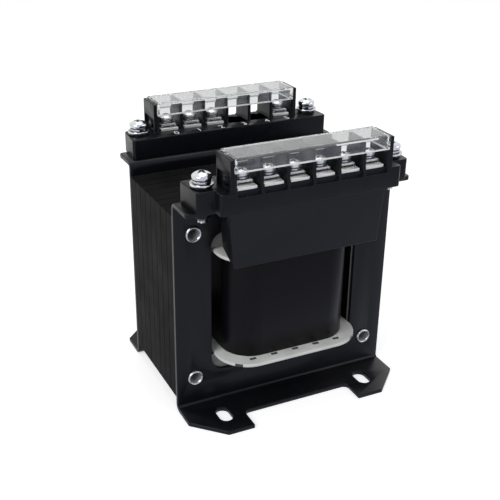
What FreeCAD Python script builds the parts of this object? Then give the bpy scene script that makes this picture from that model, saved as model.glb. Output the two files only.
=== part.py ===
"""Laminated chassis transformer with two covered screw terminal blocks.

The frame of the part: X runs along the terminal blocks, Y through the lamination stack, with the
front at minus Y, and Z up. The origin lies on the mounting plane under the middle of the core.
All sizes are in millimetres. The front pieces are drawn in place, and the rear ones are the same
pieces turned half a turn about Z.
"""
import FreeCAD, Part
import math
import os
import re
import Sketcher

Vector = FreeCAD.Vector

# Counts and proportions
WAYS = 6
REAR_WAYS_FITTED = (0, 1, 2, 5)
TIE_SLOTS = 5
SEAM_LINES = 7
LEAD_SIDES = 8
PRIMARY_SHARE = 0.56
CROSS_ARM = 0.16
CROSS_REACH = 0.34
CROSS_DEPTH = 0.55
TOLERANCE = 1e-4

# Sizes that can be set by themselves
SIZES = [
    ("overrun", 1.0, "cutting profile past the face that it cuts"),
    ("limb_width", 28.0, "width of the centre limb"),
    ("core_window_width", 14.0, "width of each window beside the centre limb"),
    ("core_window_height", 42.0, "height of each window beside the centre limb"),
    ("side_limb_width", 14.0, "width of each outer limb"),
    ("yoke_height", 14.0, "height of the lower and the upper yoke"),
    ("stack_depth", 40.0, "thickness of the lamination stack"),
    ("core_lift", 5.3, "core's underside above the mounting plane"),
    ("seam_span", 30.0, "distance over all seam lines between lamination packs"),
    ("seam_width", 0.3, "width of a seam line between lamination packs"),
    ("seam_depth", 0.25, "depth of a seam line between lamination packs"),
    ("sheet_thickness", 1.5, "sheet of the pressed frames"),
    ("bend_radius", 1.0, "inside radius of the frame's bends"),
    ("flange_rise", 5.3, "top of the upper flange above the core"),
    ("flange_reach", 11.0, "upper flange beyond the plate's outer face"),
    ("flange_corner_radius", 1.5, "rounding of the upper flange's corners"),
    ("foot_reach", 20.5, "foot beyond the plate's outer face"),
    ("foot_side_reach", 10.0, "straight side of the foot beyond the plate's outer face"),
    ("foot_chamfer", 10.8, "width of the slanted corner of the foot"),
    ("notch_width", 42.4, "notch between the two halves of the foot"),
    ("notch_start", 11.6, "notch's inner edge beyond the plate's outer face"),
    ("notch_radius", 2.0, "rounding in the notch's inner corners"),
    ("slot_pitch", 57.0, "mounting slots, centre to centre along the frame"),
    ("slot_inner_gap", 56.0, "between the inner ends of the front and rear slots"),
    ("slot_width", 4.8, "width of a mounting slot"),
    ("slot_length", 8.0, "length of a mounting slot, end to end"),
    ("opening_side_margin", 0.5, "frame's window beyond the core's windows at each side"),
    ("opening_end_margin", 6.0, "frame's window beyond the core's windows at top and bottom"),
    ("opening_radius", 5.0, "rounding of the frame's window"),
    ("rivet_shank", 4.4, "outer diameter of the tubular rivets"),
    ("rivet_bore", 3.3, "bore of the tubular rivets"),
    ("rivet_head", 5.8, "diameter of the rolled rivet heads"),
    ("rivet_head_height", 0.7, "height of the rolled rivet heads"),
    ("rivet_clearance", 0.1, "gap round a rivet's shank"),
    ("collar_diameter", 5.2, "drawn collar under the flange for a block screw"),
    ("collar_height", 1.5, "drawn collar below the flange's underside"),
    ("bobbin_clearance", 0.3, "gap between the bobbin and the core"),
    ("bobbin_wall", 1.2, "wall of the bobbin's tube"),
    ("bobbin_flange", 1.2, "thickness of the bobbin's end flanges"),
    ("bobbin_flange_margin", 4.5, "flange beyond the wound coil at front and rear"),
    ("bobbin_flange_radius", 12.0, "rounding of the bobbin's flanges"),
    ("tube_radius", 2.6, "rounding of the bobbin's tube"),
    ("tie_slot_pitch", 8.4, "small slots in the lower flange, centre to centre"),
    ("tie_slot_width", 2.4, "width of a small slot"),
    ("tie_slot_depth", 1.2, "small slot from front to back"),
    ("tie_slot_gap", 0.2, "small slot from the coil's face"),
    ("coil_slack", 4.1, "gap between the wound coil and the outer limbs"),
    ("barrier_build", 0.5, "thickness of the insulation between the windings"),
    ("tape_build", 0.4, "thickness of the outer tape"),
    ("layer_gap", 0.1, "slack between one layer of the coil and the next"),
    ("block_gap", 0.5, "inner side of the block beyond the frame's plate"),
    ("block_base_height", 7.3, "height of the block's base"),
    ("block_shoulder", 3.5, "block's base beyond the housing at each end"),
    ("ear_width", 6.9, "ear beyond the block's base, at its back"),
    ("ear_taper", 1.0, "ear's end drawn in from its back to its wired side"),
    ("ear_margin", 5.1, "wired side of an ear beyond the middle of its screw"),
    ("ear_hole", 4.0, "hole through an ear"),
    ("ear_boss_diameter", 6.4, "raised ring round the hole of an ear"),
    ("ear_boss_height", 0.8, "height of the raised ring"),
    ("housing_depth", 11.0, "terminal compartments from front to back"),
    ("housing_height", 10.5, "end walls above the block's base"),
    ("housing_setback", 0.6, "compartments behind the block's wired side"),
    ("way_pitch", 9.3, "terminals, centre to centre"),
    ("way_width", 8.1, "clear width of a compartment"),
    ("end_wall", 2.2, "thickness of the housing's end walls"),
    ("floor_thickness", 2.0, "floor under the terminals"),
    ("moulded_bevel", 0.8, "bevel on the block's upright corners"),
    ("ledge_depth", 1.7, "drop of the ledge at the wire entries"),
    ("ledge_width", 1.4, "ledge at the wire entries from front to back"),
    ("base_wall", 1.5, "outer walls of the hollow base"),
    ("recess_depth", 1.1, "recess in the outer face of an end wall"),
    ("recess_height", 5.0, "height of that recess"),
    ("recess_margin", 0.8, "recess from the front and back edges of the end wall"),
    ("stud_diameter", 3.0, "round boss in the recess"),
    ("stud_height", 0.8, "round boss above the recess's floor"),
    ("stud_rise", 2.1, "middle of the round boss above the block's base"),
    ("apron_gap", 1.0, "gap between the bobbin's flange and the apron"),
    ("apron_wall", 1.3, "wall of the apron in front of the coil"),
    ("apron_setback", 2.5, "apron's face behind the block's wired side"),
    ("apron_side_setback", 0.7, "apron's side behind the housing's end at the top"),
    ("apron_taper", 1.8, "apron's side drawn in from its top to its lower edge"),
    ("apron_drop", 20.0, "apron below the block's base"),
    ("apron_return", 8.6, "depth of the apron's side walls"),
    ("apron_rise", 4.4, "rise of the side walls' lower edge towards the coil"),
    ("apron_clearance", 0.4, "gap between the frame's flange and the apron's side walls"),
    ("cover_rise", 11.1, "top of the cover above the block's base"),
    ("cover_drop", 5.0, "height of the cover"),
    ("cover_plate", 1.2, "thickness of the cover's top"),
    ("cover_skirt", 1.0, "thickness of the cover's skirts"),
    ("cover_inset", 1.5, "cover from the housing's end"),
    ("cover_clearance", 0.15, "gap round the cover"),
    ("cover_bevel", 0.4, "bevel round the cover's top"),
    ("plate_width", 6.8, "width of a terminal plate"),
    ("plate_length", 9.6, "length of a terminal plate"),
    ("plate_thickness", 1.0, "thickness of a terminal plate"),
    ("plate_setback", 0.9, "plate's front edge behind the compartments' front"),
    ("tail_width", 2.4, "width of a terminal's solder tail"),
    ("tail_thickness", 0.7, "thickness of a terminal's solder tail"),
    ("tail_drop", 12.2, "solder tail below the terminal plate"),
    ("tail_gap", 0.3, "gap between a solder tail and the apron"),
    ("clamp_setback", 6.3, "terminal screws behind the compartments' front"),
    ("clamp_shank", 3.0, "diameter of a terminal screw"),
    ("clamp_shank_length", 7.2, "terminal screw below its spring washer"),
    ("clamp_head", 5.8, "head diameter of a terminal screw"),
    ("clamp_head_height", 2.3, "head height of a terminal screw"),
    ("clamp_ring", 5.2, "diameter of a terminal screw's spring washer"),
    ("clamp_ring_height", 0.8, "spring washer of a terminal screw"),
    ("saddle_size", 6.2, "side of a square clamp washer"),
    ("saddle_thickness", 0.8, "sheet of a square clamp washer"),
    ("saddle_lip", 0.6, "bent edges of a square clamp washer"),
    ("saddle_bend", 0.5, "eased bend of a square clamp washer"),
    ("thread_clearance", 0.05, "gap round the thread of a screw"),
    ("hole_clearance", 0.15, "gap round a screw or a solder tail in its hole"),
    ("fixing_reach", 7.8, "middle of a block screw beyond the plate's outer face"),
    ("fixing_shank", 3.5, "diameter of a block screw"),
    ("fixing_length", 13.4, "block screw below its spring washer"),
    ("fixing_head", 6.6, "head diameter of a block screw"),
    ("fixing_head_height", 2.8, "head height of a block screw"),
    ("fixing_ring", 6.0, "diameter of a block screw's spring washer"),
    ("fixing_ring_height", 1.0, "spring washer of a block screw"),
    ("fixing_washer", 7.8, "diameter of a block screw's flat washer"),
    ("fixing_washer_height", 0.7, "flat washer of a block screw"),
    ("fixing_washer_gap", 1.7, "gap between a flat washer and the housing"),
    ("lead_diameter", 1.2, "sleeved lead between the coil and a terminal"),
    ("lead_slot", 1.8, "square hole for a lead in the bobbin's upper flange"),
    ("lead_margin", 1.5, "outermost lead at the coil from the side of the bobbin's tube"),
    ("lead_rise", 4.6, "straight rise of a lead above the coil"),
    ("lead_slant", 6.0, "height over which a lead crosses to its terminal"),
    ("lead_overlap", 3.0, "soldered length of a lead beside its tail"),
]

# Sizes that follow from them
DERIVED = [
    ("window_edge", "limb_width / 2 + core_window_width"),
    ("frame_half", "window_edge + side_limb_width"),
    ("stack_half", "stack_depth / 2"),
    ("plate_face", "stack_half + sheet_thickness"),
    ("window_floor", "core_lift + yoke_height"),
    ("window_ceiling", "window_floor + core_window_height"),
    ("core_top", "window_ceiling + yoke_height"),
    ("frame_height", "core_top + flange_rise"),
    ("flange_under", "frame_height - sheet_thickness"),
    ("rivet_across", "frame_half - side_limb_width / 2"),
    ("rivet_low", "core_lift + yoke_height / 2"),
    ("rivet_high", "core_top - yoke_height / 2"),
    ("rivet_end", "plate_face + rivet_head_height"),
    ("foot_front", "plate_face + foot_reach"),
    ("flange_front", "plate_face + flange_reach"),
    ("slot_middle", "slot_inner_gap / 2 + slot_length / 2"),
    ("fixing_middle", "plate_face + fixing_reach"),
    ("bobbin_base", "window_floor + bobbin_clearance"),
    ("bobbin_top", "window_ceiling - bobbin_clearance"),
    ("tube_across", "limb_width / 2 + bobbin_clearance + bobbin_wall"),
    ("tube_along", "stack_half + bobbin_clearance + bobbin_wall"),
    ("coil_base", "bobbin_base + bobbin_flange + layer_gap"),
    ("coil_top", "bobbin_top - bobbin_flange - layer_gap"),
    ("coil_build", "window_edge - coil_slack - tube_across"),
    ("copper_build", "coil_build - barrier_build - tape_build - 4 * layer_gap"),
    ("primary_build", f"{PRIMARY_SHARE} * copper_build"),
    ("secondary_build", "copper_build - primary_build"),
    ("primary_start", "layer_gap"),
    ("primary_end", "primary_start + primary_build"),
    ("barrier_start", "primary_end + layer_gap"),
    ("barrier_end", "barrier_start + barrier_build"),
    ("secondary_start", "barrier_end + layer_gap"),
    ("secondary_end", "secondary_start + secondary_build"),
    ("tape_start", "secondary_end + layer_gap"),
    ("coil_face", "tube_along + coil_build"),
    ("bobbin_across", "window_edge - 2 * bobbin_clearance"),
    ("bobbin_along", "coil_face + bobbin_flange_margin"),
    ("apron_inside", "bobbin_along + apron_gap"),
    ("apron_front", "apron_inside + apron_wall"),
    ("apron_back", "apron_front - apron_return"),
    ("apron_bottom", "frame_height - apron_drop"),
    ("block_front", "apron_front + apron_setback"),
    ("block_back", "plate_face + block_gap"),
    ("base_top", "frame_height + block_base_height"),
    ("housing_front", "block_front - housing_setback"),
    ("housing_back", "housing_front - housing_depth"),
    ("housing_top", "base_top + housing_height"),
    ("housing_half", f"{(WAYS - 1) / 2} * way_pitch + way_width / 2 + end_wall"),
    ("block_half", "housing_half + block_shoulder"),
    ("ear_half", "block_half + ear_width"),
    ("ear_front", "fixing_middle + ear_margin"),
    ("fixing_across", "housing_half + fixing_washer_gap + fixing_washer / 2"),
    ("apron_top_half", "housing_half - apron_side_setback"),
    ("apron_low_half", "apron_top_half - apron_taper"),
    ("cover_half", "housing_half - cover_inset"),
    ("cover_top", "base_top + cover_rise"),
    ("cover_seat", "cover_top - cover_drop"),
    ("cover_under", "cover_top - cover_plate"),
    ("plate_front", "housing_front - plate_setback"),
    ("clamp_centre", "housing_front - clamp_setback"),
    ("clamp_seat", "base_top + plate_thickness"),
    ("saddle_top", "clamp_seat + saddle_lip + saddle_thickness"),
    ("tail_front", "apron_inside - tail_gap"),
    ("tail_back", "tail_front - tail_thickness"),
    ("tail_end", "base_top - tail_drop"),
    ("fixing_seat", "base_top + ear_boss_height"),
    ("fixing_ring_seat", "fixing_seat + fixing_washer_height"),
    ("lead_pitch", f"2 * (tube_across - lead_margin) / {WAYS - 1}"),
    ("lead_line", "tail_back - lead_diameter / 2 - layer_gap"),
]

doc = FreeCAD.newDocument("ChassisTransformer")
sheet = doc.addObject("Spreadsheet::Sheet", "Sizes")
for row, (alias, millimetres, meaning) in enumerate(SIZES, start=1):
    sheet.set(f"A{row}", meaning)
    sheet.set(f"B{row}", str(millimetres))
    sheet.setAlias(f"B{row}", alias)
for row, (alias, formula) in enumerate(DERIVED, start=1):
    sheet.set(f"D{row}", "=" + formula)
    sheet.setAlias(f"D{row}", alias)
doc.recompute()

ALIASES = {entry[0] for entry in SIZES} | {entry[0] for entry in DERIVED}


def sized(formula):
    """Point each size that a formula names at its cell in the sheet."""
    def point(word):
        return "Sizes." + word.group(0) if word.group(0) in ALIASES else word.group(0)
    return re.sub(r"[a-z][a-z_]+", point, str(formula))


def number(formula):
    """Work a formula of named sizes out."""
    return float(sheet.evalExpression(sized(formula)))


# Sketches, whose local axes are X and Y on the top plane, X and Z on the front plane, and Y and
# Z on the side plane; an offset runs up, to the front and to the right

PLANES = {"top": "XY_Plane", "front": "XZ_Plane", "side": "YZ_Plane"}


def origin_feature(body, role):
    return next(feature for feature in body.Origin.OriginFeatures if feature.Role == role)


def new_body(label):
    body = doc.addObject("PartDesign::Body", label)
    body.Label = label
    return body


def new_sketch(body, plane, offset="0"):
    sketch = body.newObject("Sketcher::SketchObject", body.Name + "_sketch")
    sketch.AttachmentSupport = [(origin_feature(body, PLANES[plane]), "")]
    sketch.MapMode = "FlatFace"
    if offset != "0":
        sketch.setExpression("AttachmentOffset.Base.z", sized(offset))
    return sketch


def pin_point(sketch, geometry, point, across, up):
    """Hold one point of a sketch at a place given by two formulas."""
    for kind, axis, formula in (("DistanceX", -2, across), ("DistanceY", -1, up)):
        if formula == "0":
            sketch.addConstraint(Sketcher.Constraint("PointOnObject", geometry, point, axis))
        else:
            index = sketch.addConstraint(
                Sketcher.Constraint(kind, geometry, point, number(formula)))
            sketch.setExpression(f"Constraints[{index}]", sized(formula))


def polygon(sketch, corners):
    """Draw a closed outline through corners that formulas place."""
    places = [Vector(number(across), number(up), 0) for across, up in corners]
    first = sketch.GeometryCount
    count = len(corners)
    for index in range(count):
        line = Part.LineSegment(places[index], places[(index + 1) % count])
        sketch.addGeometry(line, False)
    for index in range(count):
        following = first + (index + 1) % count
        sketch.addConstraint(Sketcher.Constraint("Coincident", first + index, 2, following, 1))
    for index, (across, up) in enumerate(corners):
        pin_point(sketch, first + index, 1, across, up)


def rectangle(sketch, left, right, low, high):
    polygon(sketch, [(left, low), (right, low), (right, high), (left, high)])


def circle(sketch, across, up, diameter):
    place = Vector(number(across), number(up), 0)
    ring = Part.Circle(place, Vector(0, 0, 1), number(diameter) / 2)
    index = sketch.addGeometry(ring, False)
    pin_point(sketch, index, 3, across, up)
    size = sketch.addConstraint(Sketcher.Constraint("Diameter", index, number(diameter)))
    sketch.setExpression(f"Constraints[{size}]", sized(diameter))


def rounded_rectangle(sketch, left, right, low, high, radius):
    """Draw a rectangle with four equal round corners."""
    x0, x1, y0, y1, r = [number(formula) for formula in (left, right, low, high, radius)]
    first = sketch.GeometryCount
    sides = [((x0 + r, y0), (x1 - r, y0)), ((x1, y0 + r), (x1, y1 - r)),
             ((x1 - r, y1), (x0 + r, y1)), ((x0, y1 - r), (x0, y0 + r))]
    for (ax, ay), (bx, by) in sides:
        sketch.addGeometry(Part.LineSegment(Vector(ax, ay, 0), Vector(bx, by, 0)), False)
    centres = [(x1 - r, y0 + r), (x1 - r, y1 - r), (x0 + r, y1 - r), (x0 + r, y0 + r)]
    for quarter, (cx, cy) in enumerate(centres):
        start = math.pi / 2 * (quarter - 1)
        ring = Part.Circle(Vector(cx, cy, 0), Vector(0, 0, 1), r)
        sketch.addGeometry(Part.ArcOfCircle(ring, start, start + math.pi / 2), False)
    count = len(sides)
    arcs = [first + count + corner for corner in range(count)]
    for corner, arc in enumerate(arcs):
        following = first + (corner + 1) % count
        sketch.addConstraint(Sketcher.Constraint("Tangent", first + corner, 2, arc, 1))
        sketch.addConstraint(Sketcher.Constraint("Tangent", arc, 2, following, 1))
    for arc, following in zip(arcs, arcs[1:]):
        sketch.addConstraint(Sketcher.Constraint("Equal", arc, following))
    sketch.addConstraint(Sketcher.Constraint("Horizontal", first))
    sketch.addConstraint(Sketcher.Constraint("Vertical", first + 1))
    limits = [("DistanceY", 0, low), ("DistanceX", 1, right), ("DistanceY", 2, high),
              ("DistanceX", 3, left)]
    for kind, side, formula in limits:
        index = sketch.addConstraint(
            Sketcher.Constraint(kind, first + side, 1, number(formula)))
        sketch.setExpression(f"Constraints[{index}]", sized(formula))
    index = sketch.addConstraint(Sketcher.Constraint("Radius", arcs[0], r))
    sketch.setExpression(f"Constraints[{index}]", sized(radius))


def long_hole(sketch, across, up, width, length):
    """Draw a slot with round ends that runs up the sketch."""
    x, y, w, span = [number(formula) for formula in (across, up, width, length)]
    r, reach = w / 2, (span - w) / 2
    first = sketch.GeometryCount
    sketch.addGeometry(Part.LineSegment(Vector(x + r, y - reach, 0), Vector(x + r, y + reach, 0)),
                       False)
    sketch.addGeometry(Part.LineSegment(Vector(x - r, y + reach, 0), Vector(x - r, y - reach, 0)),
                       False)
    for end, start in ((y + reach, 0.0), (y - reach, math.pi)):
        ring = Part.Circle(Vector(x, end, 0), Vector(0, 0, 1), r)
        sketch.addGeometry(Part.ArcOfCircle(ring, start, start + math.pi), False)
    joints = [(0, 2, 2, 1), (2, 2, 1, 1), (1, 2, 3, 1), (3, 2, 0, 1)]
    for line, end, arc, begin in joints:
        sketch.addConstraint(
            Sketcher.Constraint("Tangent", first + line, end, first + arc, begin))
    sketch.addConstraint(Sketcher.Constraint("Equal", first + 2, first + 3))
    pin_point(sketch, first + 2, 3, across, f"{up} + ({length} - {width}) / 2")
    pin_point(sketch, first + 3, 3, across, f"{up} - ({length} - {width}) / 2")
    index = sketch.addConstraint(Sketcher.Constraint("Radius", first + 2, r))
    sketch.setExpression(f"Constraints[{index}]", sized(width + " / 2"))


# Features

def set_extent(feature, extent, symmetric, backward):
    if extent is None:
        feature.Type = "ThroughAll"
    else:
        feature.setExpression("Length", sized(extent))
    if symmetric:
        feature.SideType = "Symmetric"
    feature.Reversed = backward


def pad(body, sketch, length, symmetric=False, backward=False):
    """Pad a sketch along its plane's direction."""
    feature = body.newObject("PartDesign::Pad", body.Name + "_pad")
    feature.Profile = sketch
    set_extent(feature, length, symmetric, backward)
    doc.recompute()
    return feature


def pocket(body, sketch, depth=None, symmetric=False, backward=False):
    """Cut a sketch into the body against its plane's direction."""
    before = body.Shape.Volume
    feature = body.newObject("PartDesign::Pocket", body.Name + "_pocket")
    feature.Profile = sketch
    set_extent(feature, depth, symmetric, backward)
    doc.recompute()
    if not body.Shape.Volume < before:
        raise RuntimeError(f"{feature.Name} cuts nothing")
    return feature


def revolve(body, sketch):
    """Turn a sketch once round its own upright axis."""
    feature = body.newObject("PartDesign::Revolution", body.Name + "_revolution")
    feature.Profile = sketch
    feature.ReferenceAxis = (sketch, ["V_Axis"])
    feature.Angle = 360
    doc.recompute()
    return feature


def repeat(body, feature, axis, span, count):
    """Repeat a feature in a row along one of the body's axes."""
    row_of = body.newObject("PartDesign::LinearPattern", body.Name + "_row")
    row_of.Originals = [feature]
    row_of.Direction = (origin_feature(body, axis), [""])
    row_of.setExpression("Length", sized(span))
    row_of.Occurrences = count
    body.Tip = row_of
    doc.recompute()
    return row_of


def edges_where(body, wanted):
    """Name the edges whose middle and direction pass a test."""
    names = []
    for index, edge in enumerate(body.Shape.Edges, start=1):
        middle = edge.valueAt((edge.FirstParameter + edge.LastParameter) / 2)
        tangent = edge.tangentAt((edge.FirstParameter + edge.LastParameter) / 2)
        if wanted(middle, tangent):
            names.append(f"Edge{index}")
    return names


def near(one, other):
    return abs(one - other) < TOLERANCE


def upright(tangent):
    return math.hypot(tangent.x, tangent.y) < TOLERANCE


def lengthwise(tangent):
    return math.hypot(tangent.y, tangent.z) < TOLERANCE


def dress(body, kind, size_name, wanted, size):
    """Round or bevel the edges that pass a test."""
    names = edges_where(body, wanted)
    if not names:
        raise RuntimeError(f"{body.Label} has no such edge")
    last = body.Tip
    feature = body.newObject("PartDesign::" + kind, body.Name + "_edge")
    feature.Base = (last, names)
    feature.setExpression(size_name, sized(size))
    doc.recompute()


def fillet(body, wanted, radius):
    dress(body, "Fillet", "Radius", wanted, radius)


def bevel(body, wanted, size):
    dress(body, "Chamfer", "Size", wanted, size)


# Places of pieces

def place(piece, across="0", along="0", up="0", turned=False):
    """Set a piece at a place given by formulas, half a turn about Z on the rear side."""
    if turned:
        piece.Placement = FreeCAD.Placement(Vector(), FreeCAD.Rotation(Vector(0, 0, 1), 180))
    for axis, formula in (("x", across), ("y", along), ("z", up)):
        if formula != "0":
            piece.setExpression(f"Placement.Base.{axis}", sized(formula))


def way_offset(way, pitch):
    """Formula for a terminal's place, the first one on the left."""
    return f"{way - (WAYS - 1) / 2} * {pitch}"


NODES = []


def keep(piece):
    NODES.append(piece)
    return piece


def group(label, master, places):
    """Gather copies of one fastener, each at a place of its own, as one node."""
    copies = []
    for index, where in enumerate(places):
        link = doc.addObject("App::Link", f"{label}_copy_{index + 1}")
        link.LinkedObject = master
        place(link, **where)
        copies.append(link)
    compound = doc.addObject("Part::Compound", label)
    compound.Label = label
    compound.Links = copies
    doc.recompute()
    return keep(compound)


# Laminated core

def seam_lines(body, low, high, open_side):
    """Score the seam lines between lamination packs round a stack, apart from its open side."""
    sketch = new_sketch(body, "front", "seam_span / 2")
    outside, inside = "frame_half + overrun", "frame_half - seam_depth"
    if open_side == "top":
        end, bottom, floor = f"{high} + overrun", f"{low} - overrun", f"{low} + seam_depth"
    else:
        end, bottom, floor = f"{low} - overrun", f"{high} + overrun", f"{high} - seam_depth"
    polygon(sketch, [(f"-({outside})", end), (f"-({outside})", bottom), (outside, bottom),
                     (outside, end), (inside, end), (inside, floor), (f"-({inside})", floor),
                     (f"-({inside})", end)])
    cut = pocket(body, sketch, "seam_width", symmetric=True)
    repeat(body, cut, "Y_Axis", "seam_span", SEAM_LINES)


def rivet_holes(body, sketch_offset, heights):
    sketch = new_sketch(body, "front", sketch_offset)
    for side in ("-", ""):
        for height in heights:
            circle(sketch, side + "rivet_across", height,
                   "rivet_shank + 2 * rivet_clearance")
    return sketch


def make_core():
    body = keep(new_body("core_e_stack"))
    sketch = new_sketch(body, "front")
    limb = "limb_width / 2"
    polygon(sketch, [("-frame_half", "core_lift"), ("frame_half", "core_lift"),
                     ("frame_half", "window_ceiling"), ("window_edge", "window_ceiling"),
                     ("window_edge", "window_floor"), (limb, "window_floor"),
                     (limb, "window_ceiling"), ("-" + limb, "window_ceiling"),
                     ("-" + limb, "window_floor"), ("-window_edge", "window_floor"),
                     ("-window_edge", "window_ceiling"), ("-frame_half", "window_ceiling")])
    pad(body, sketch, "stack_depth", symmetric=True)
    pocket(body, rivet_holes(body, "0", ["rivet_low"]), symmetric=True)
    seam_lines(body, "core_lift", "window_ceiling", "top")

    body = keep(new_body("core_i_stack"))
    sketch = new_sketch(body, "front")
    rectangle(sketch, "-frame_half", "frame_half", "window_ceiling", "core_top")
    pad(body, sketch, "stack_depth", symmetric=True)
    pocket(body, rivet_holes(body, "0", ["rivet_high"]), symmetric=True)
    seam_lines(body, "window_ceiling", "core_top", "bottom")


# Pressed frames

def make_frame(label, turned):
    """A pressed frame: plate with window, slotted foot and upper flange."""
    body = keep(new_body(label))
    strip = new_sketch(body, "side")
    polygon(strip, [("-stack_half", "0"), ("-stack_half", "frame_height"),
                    ("-flange_front", "frame_height"), ("-flange_front", "flange_under"),
                    ("-plate_face", "flange_under"), ("-plate_face", "sheet_thickness"),
                    ("-foot_front", "sheet_thickness"), ("-foot_front", "0")])
    pad(body, strip, "2 * frame_half", symmetric=True)

    inner, outer = -number("stack_half"), -number("plate_face")
    top, under = number("frame_height"), number("flange_under")
    thick = number("sheet_thickness")
    fillet(body, lambda middle, tangent: lengthwise(tangent) and near(middle.y, inner)
           and (near(middle.z, 0) or near(middle.z, top)), "bend_radius + sheet_thickness")
    fillet(body, lambda middle, tangent: lengthwise(tangent) and near(middle.y, outer)
           and (near(middle.z, thick) or near(middle.z, under)), "bend_radius")
    corner, tip = number("frame_half"), -number("flange_front")
    fillet(body, lambda middle, tangent: upright(tangent) and near(middle.y, tip)
           and near(abs(middle.x), corner) and middle.z > under, "flange_corner_radius")

    foot = new_sketch(body, "top", "sheet_thickness")
    side_end, front_end = "-(plate_face + foot_side_reach)", "-(foot_front + overrun)"
    for sign in ("", "-"):
        far, slanted = f"{sign}(frame_half + overrun)", f"{sign}(frame_half - foot_chamfer)"
        polygon(foot, [(far, side_end), (sign + "frame_half", side_end),
                       (slanted, "-foot_front"), (slanted, front_end), (far, front_end)])
        long_hole(foot, sign + "slot_pitch / 2", "-slot_middle", "slot_width", "slot_length")
    rounded_rectangle(foot, "-notch_width / 2", "notch_width / 2",
                      "-(foot_front + 2 * notch_radius)", "-(plate_face + notch_start)",
                      "notch_radius")
    pocket(body, foot)

    face = rivet_holes(body, "plate_face", ["rivet_low", "rivet_high"])
    side = "(window_edge + opening_side_margin)"
    rounded_rectangle(face, "-" + side, side, "window_floor - opening_end_margin",
                      "window_ceiling + opening_end_margin", "opening_radius")
    pocket(body, face)

    collars = new_sketch(body, "top", "flange_under")
    bores = new_sketch(body, "top", "frame_height")
    for sign in ("", "-"):
        circle(collars, sign + "fixing_across", "-fixing_middle", "collar_diameter")
        circle(bores, sign + "fixing_across", "-fixing_middle",
               "fixing_shank + 2 * thread_clearance")
    pad(body, collars, "collar_height", backward=True)
    pocket(body, bores, "sheet_thickness + collar_height + overrun")
    place(body, turned=turned)


def make_rivet(label, across, up):
    """A tubular rivet through both frames and the core, rolled over at both ends."""
    body = keep(new_body(label))
    sketch = new_sketch(body, "top")
    bore, shank, head = "rivet_bore / 2", "rivet_shank / 2", "rivet_head / 2"
    polygon(sketch, [(bore, "-rivet_end"), (head, "-plate_face"), (shank, "-plate_face"),
                     (shank, "plate_face"), (head, "plate_face"), (bore, "rivet_end")])
    revolve(body, sketch)
    place(body, across=across, up=up)


# Bobbin and coil

LEAD_START = {
    "front": "tube_along + primary_start + primary_build / 2",
    "rear": "tube_along + secondary_start + secondary_build / 2",
}


def layer_outline(sketch, growth_in, growth_out):
    """Draw one layer round the bobbin's tube, between two growths from the tube's faces."""
    for growth in (growth_in, growth_out):
        across, along = f"(tube_across + {growth})", f"(tube_along + {growth})"
        rounded_rectangle(sketch, "-" + across, across, "-" + along, along,
                          f"tube_radius + {growth}")


def core_hole(sketch):
    across, along = "(tube_across - bobbin_wall)", "(tube_along - bobbin_wall)"
    rectangle(sketch, "-" + across, across, "-" + along, along)


def make_bobbin():
    body = keep(new_body("bobbin"))
    tube = new_sketch(body, "top", "bobbin_base")
    rounded_rectangle(tube, "-tube_across", "tube_across", "-tube_along", "tube_along",
                      "tube_radius")
    core_hole(tube)
    pad(body, tube, "bobbin_top - bobbin_base")
    for level in ("bobbin_base", "bobbin_top - bobbin_flange"):
        flange = new_sketch(body, "top", level)
        rounded_rectangle(flange, "-bobbin_across", "bobbin_across", "-bobbin_along",
                          "bobbin_along", "bobbin_flange_radius")
        core_hole(flange)
        pad(body, flange, "bobbin_flange")

    slots = new_sketch(body, "top", "bobbin_base + bobbin_flange")
    near_edge, far_edge = "coil_face + tie_slot_gap", "coil_face + tie_slot_gap + tie_slot_depth"
    for slot in range(TIE_SLOTS):
        middle = f"{slot - (TIE_SLOTS - 1) / 2} * tie_slot_pitch"
        left, right = f"{middle} - tie_slot_width / 2", f"{middle} + tie_slot_width / 2"
        rectangle(slots, left, right, f"-({far_edge})", f"-({near_edge})")
        rectangle(slots, left, right, near_edge, far_edge)
    pocket(body, slots, "bobbin_flange + bobbin_clearance")

    holes = new_sketch(body, "top", "bobbin_top")
    half = "lead_slot / 2"
    for side, fitted, sign in (("front", range(WAYS), "-"), ("rear", REAR_WAYS_FITTED, "")):
        for way in fitted:
            across, along = way_offset(way, "lead_pitch"), f"{sign}({LEAD_START[side]})"
            rectangle(holes, f"{across} - {half}", f"{across} + {half}", f"{along} - {half}",
                      f"{along} + {half}")
    pocket(body, holes, "bobbin_flange + layer_gap / 2")


def make_layer(label, start, end):
    """One closed layer of the coil between the bobbin's flanges."""
    body = keep(new_body(label))
    sketch = new_sketch(body, "top", "coil_base")
    layer_outline(sketch, start, end)
    pad(body, sketch, "coil_top - coil_base")


# Moulded terminal block

def ways(sketch, low, high, margin="0"):
    """Draw one rectangle in each compartment of the block."""
    half = f"(way_width / 2 - {margin})"
    for way in range(WAYS):
        middle = way_offset(way, "way_pitch")
        rectangle(sketch, f"{middle} - {half}", f"{middle} + {half}", low, high)


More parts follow.
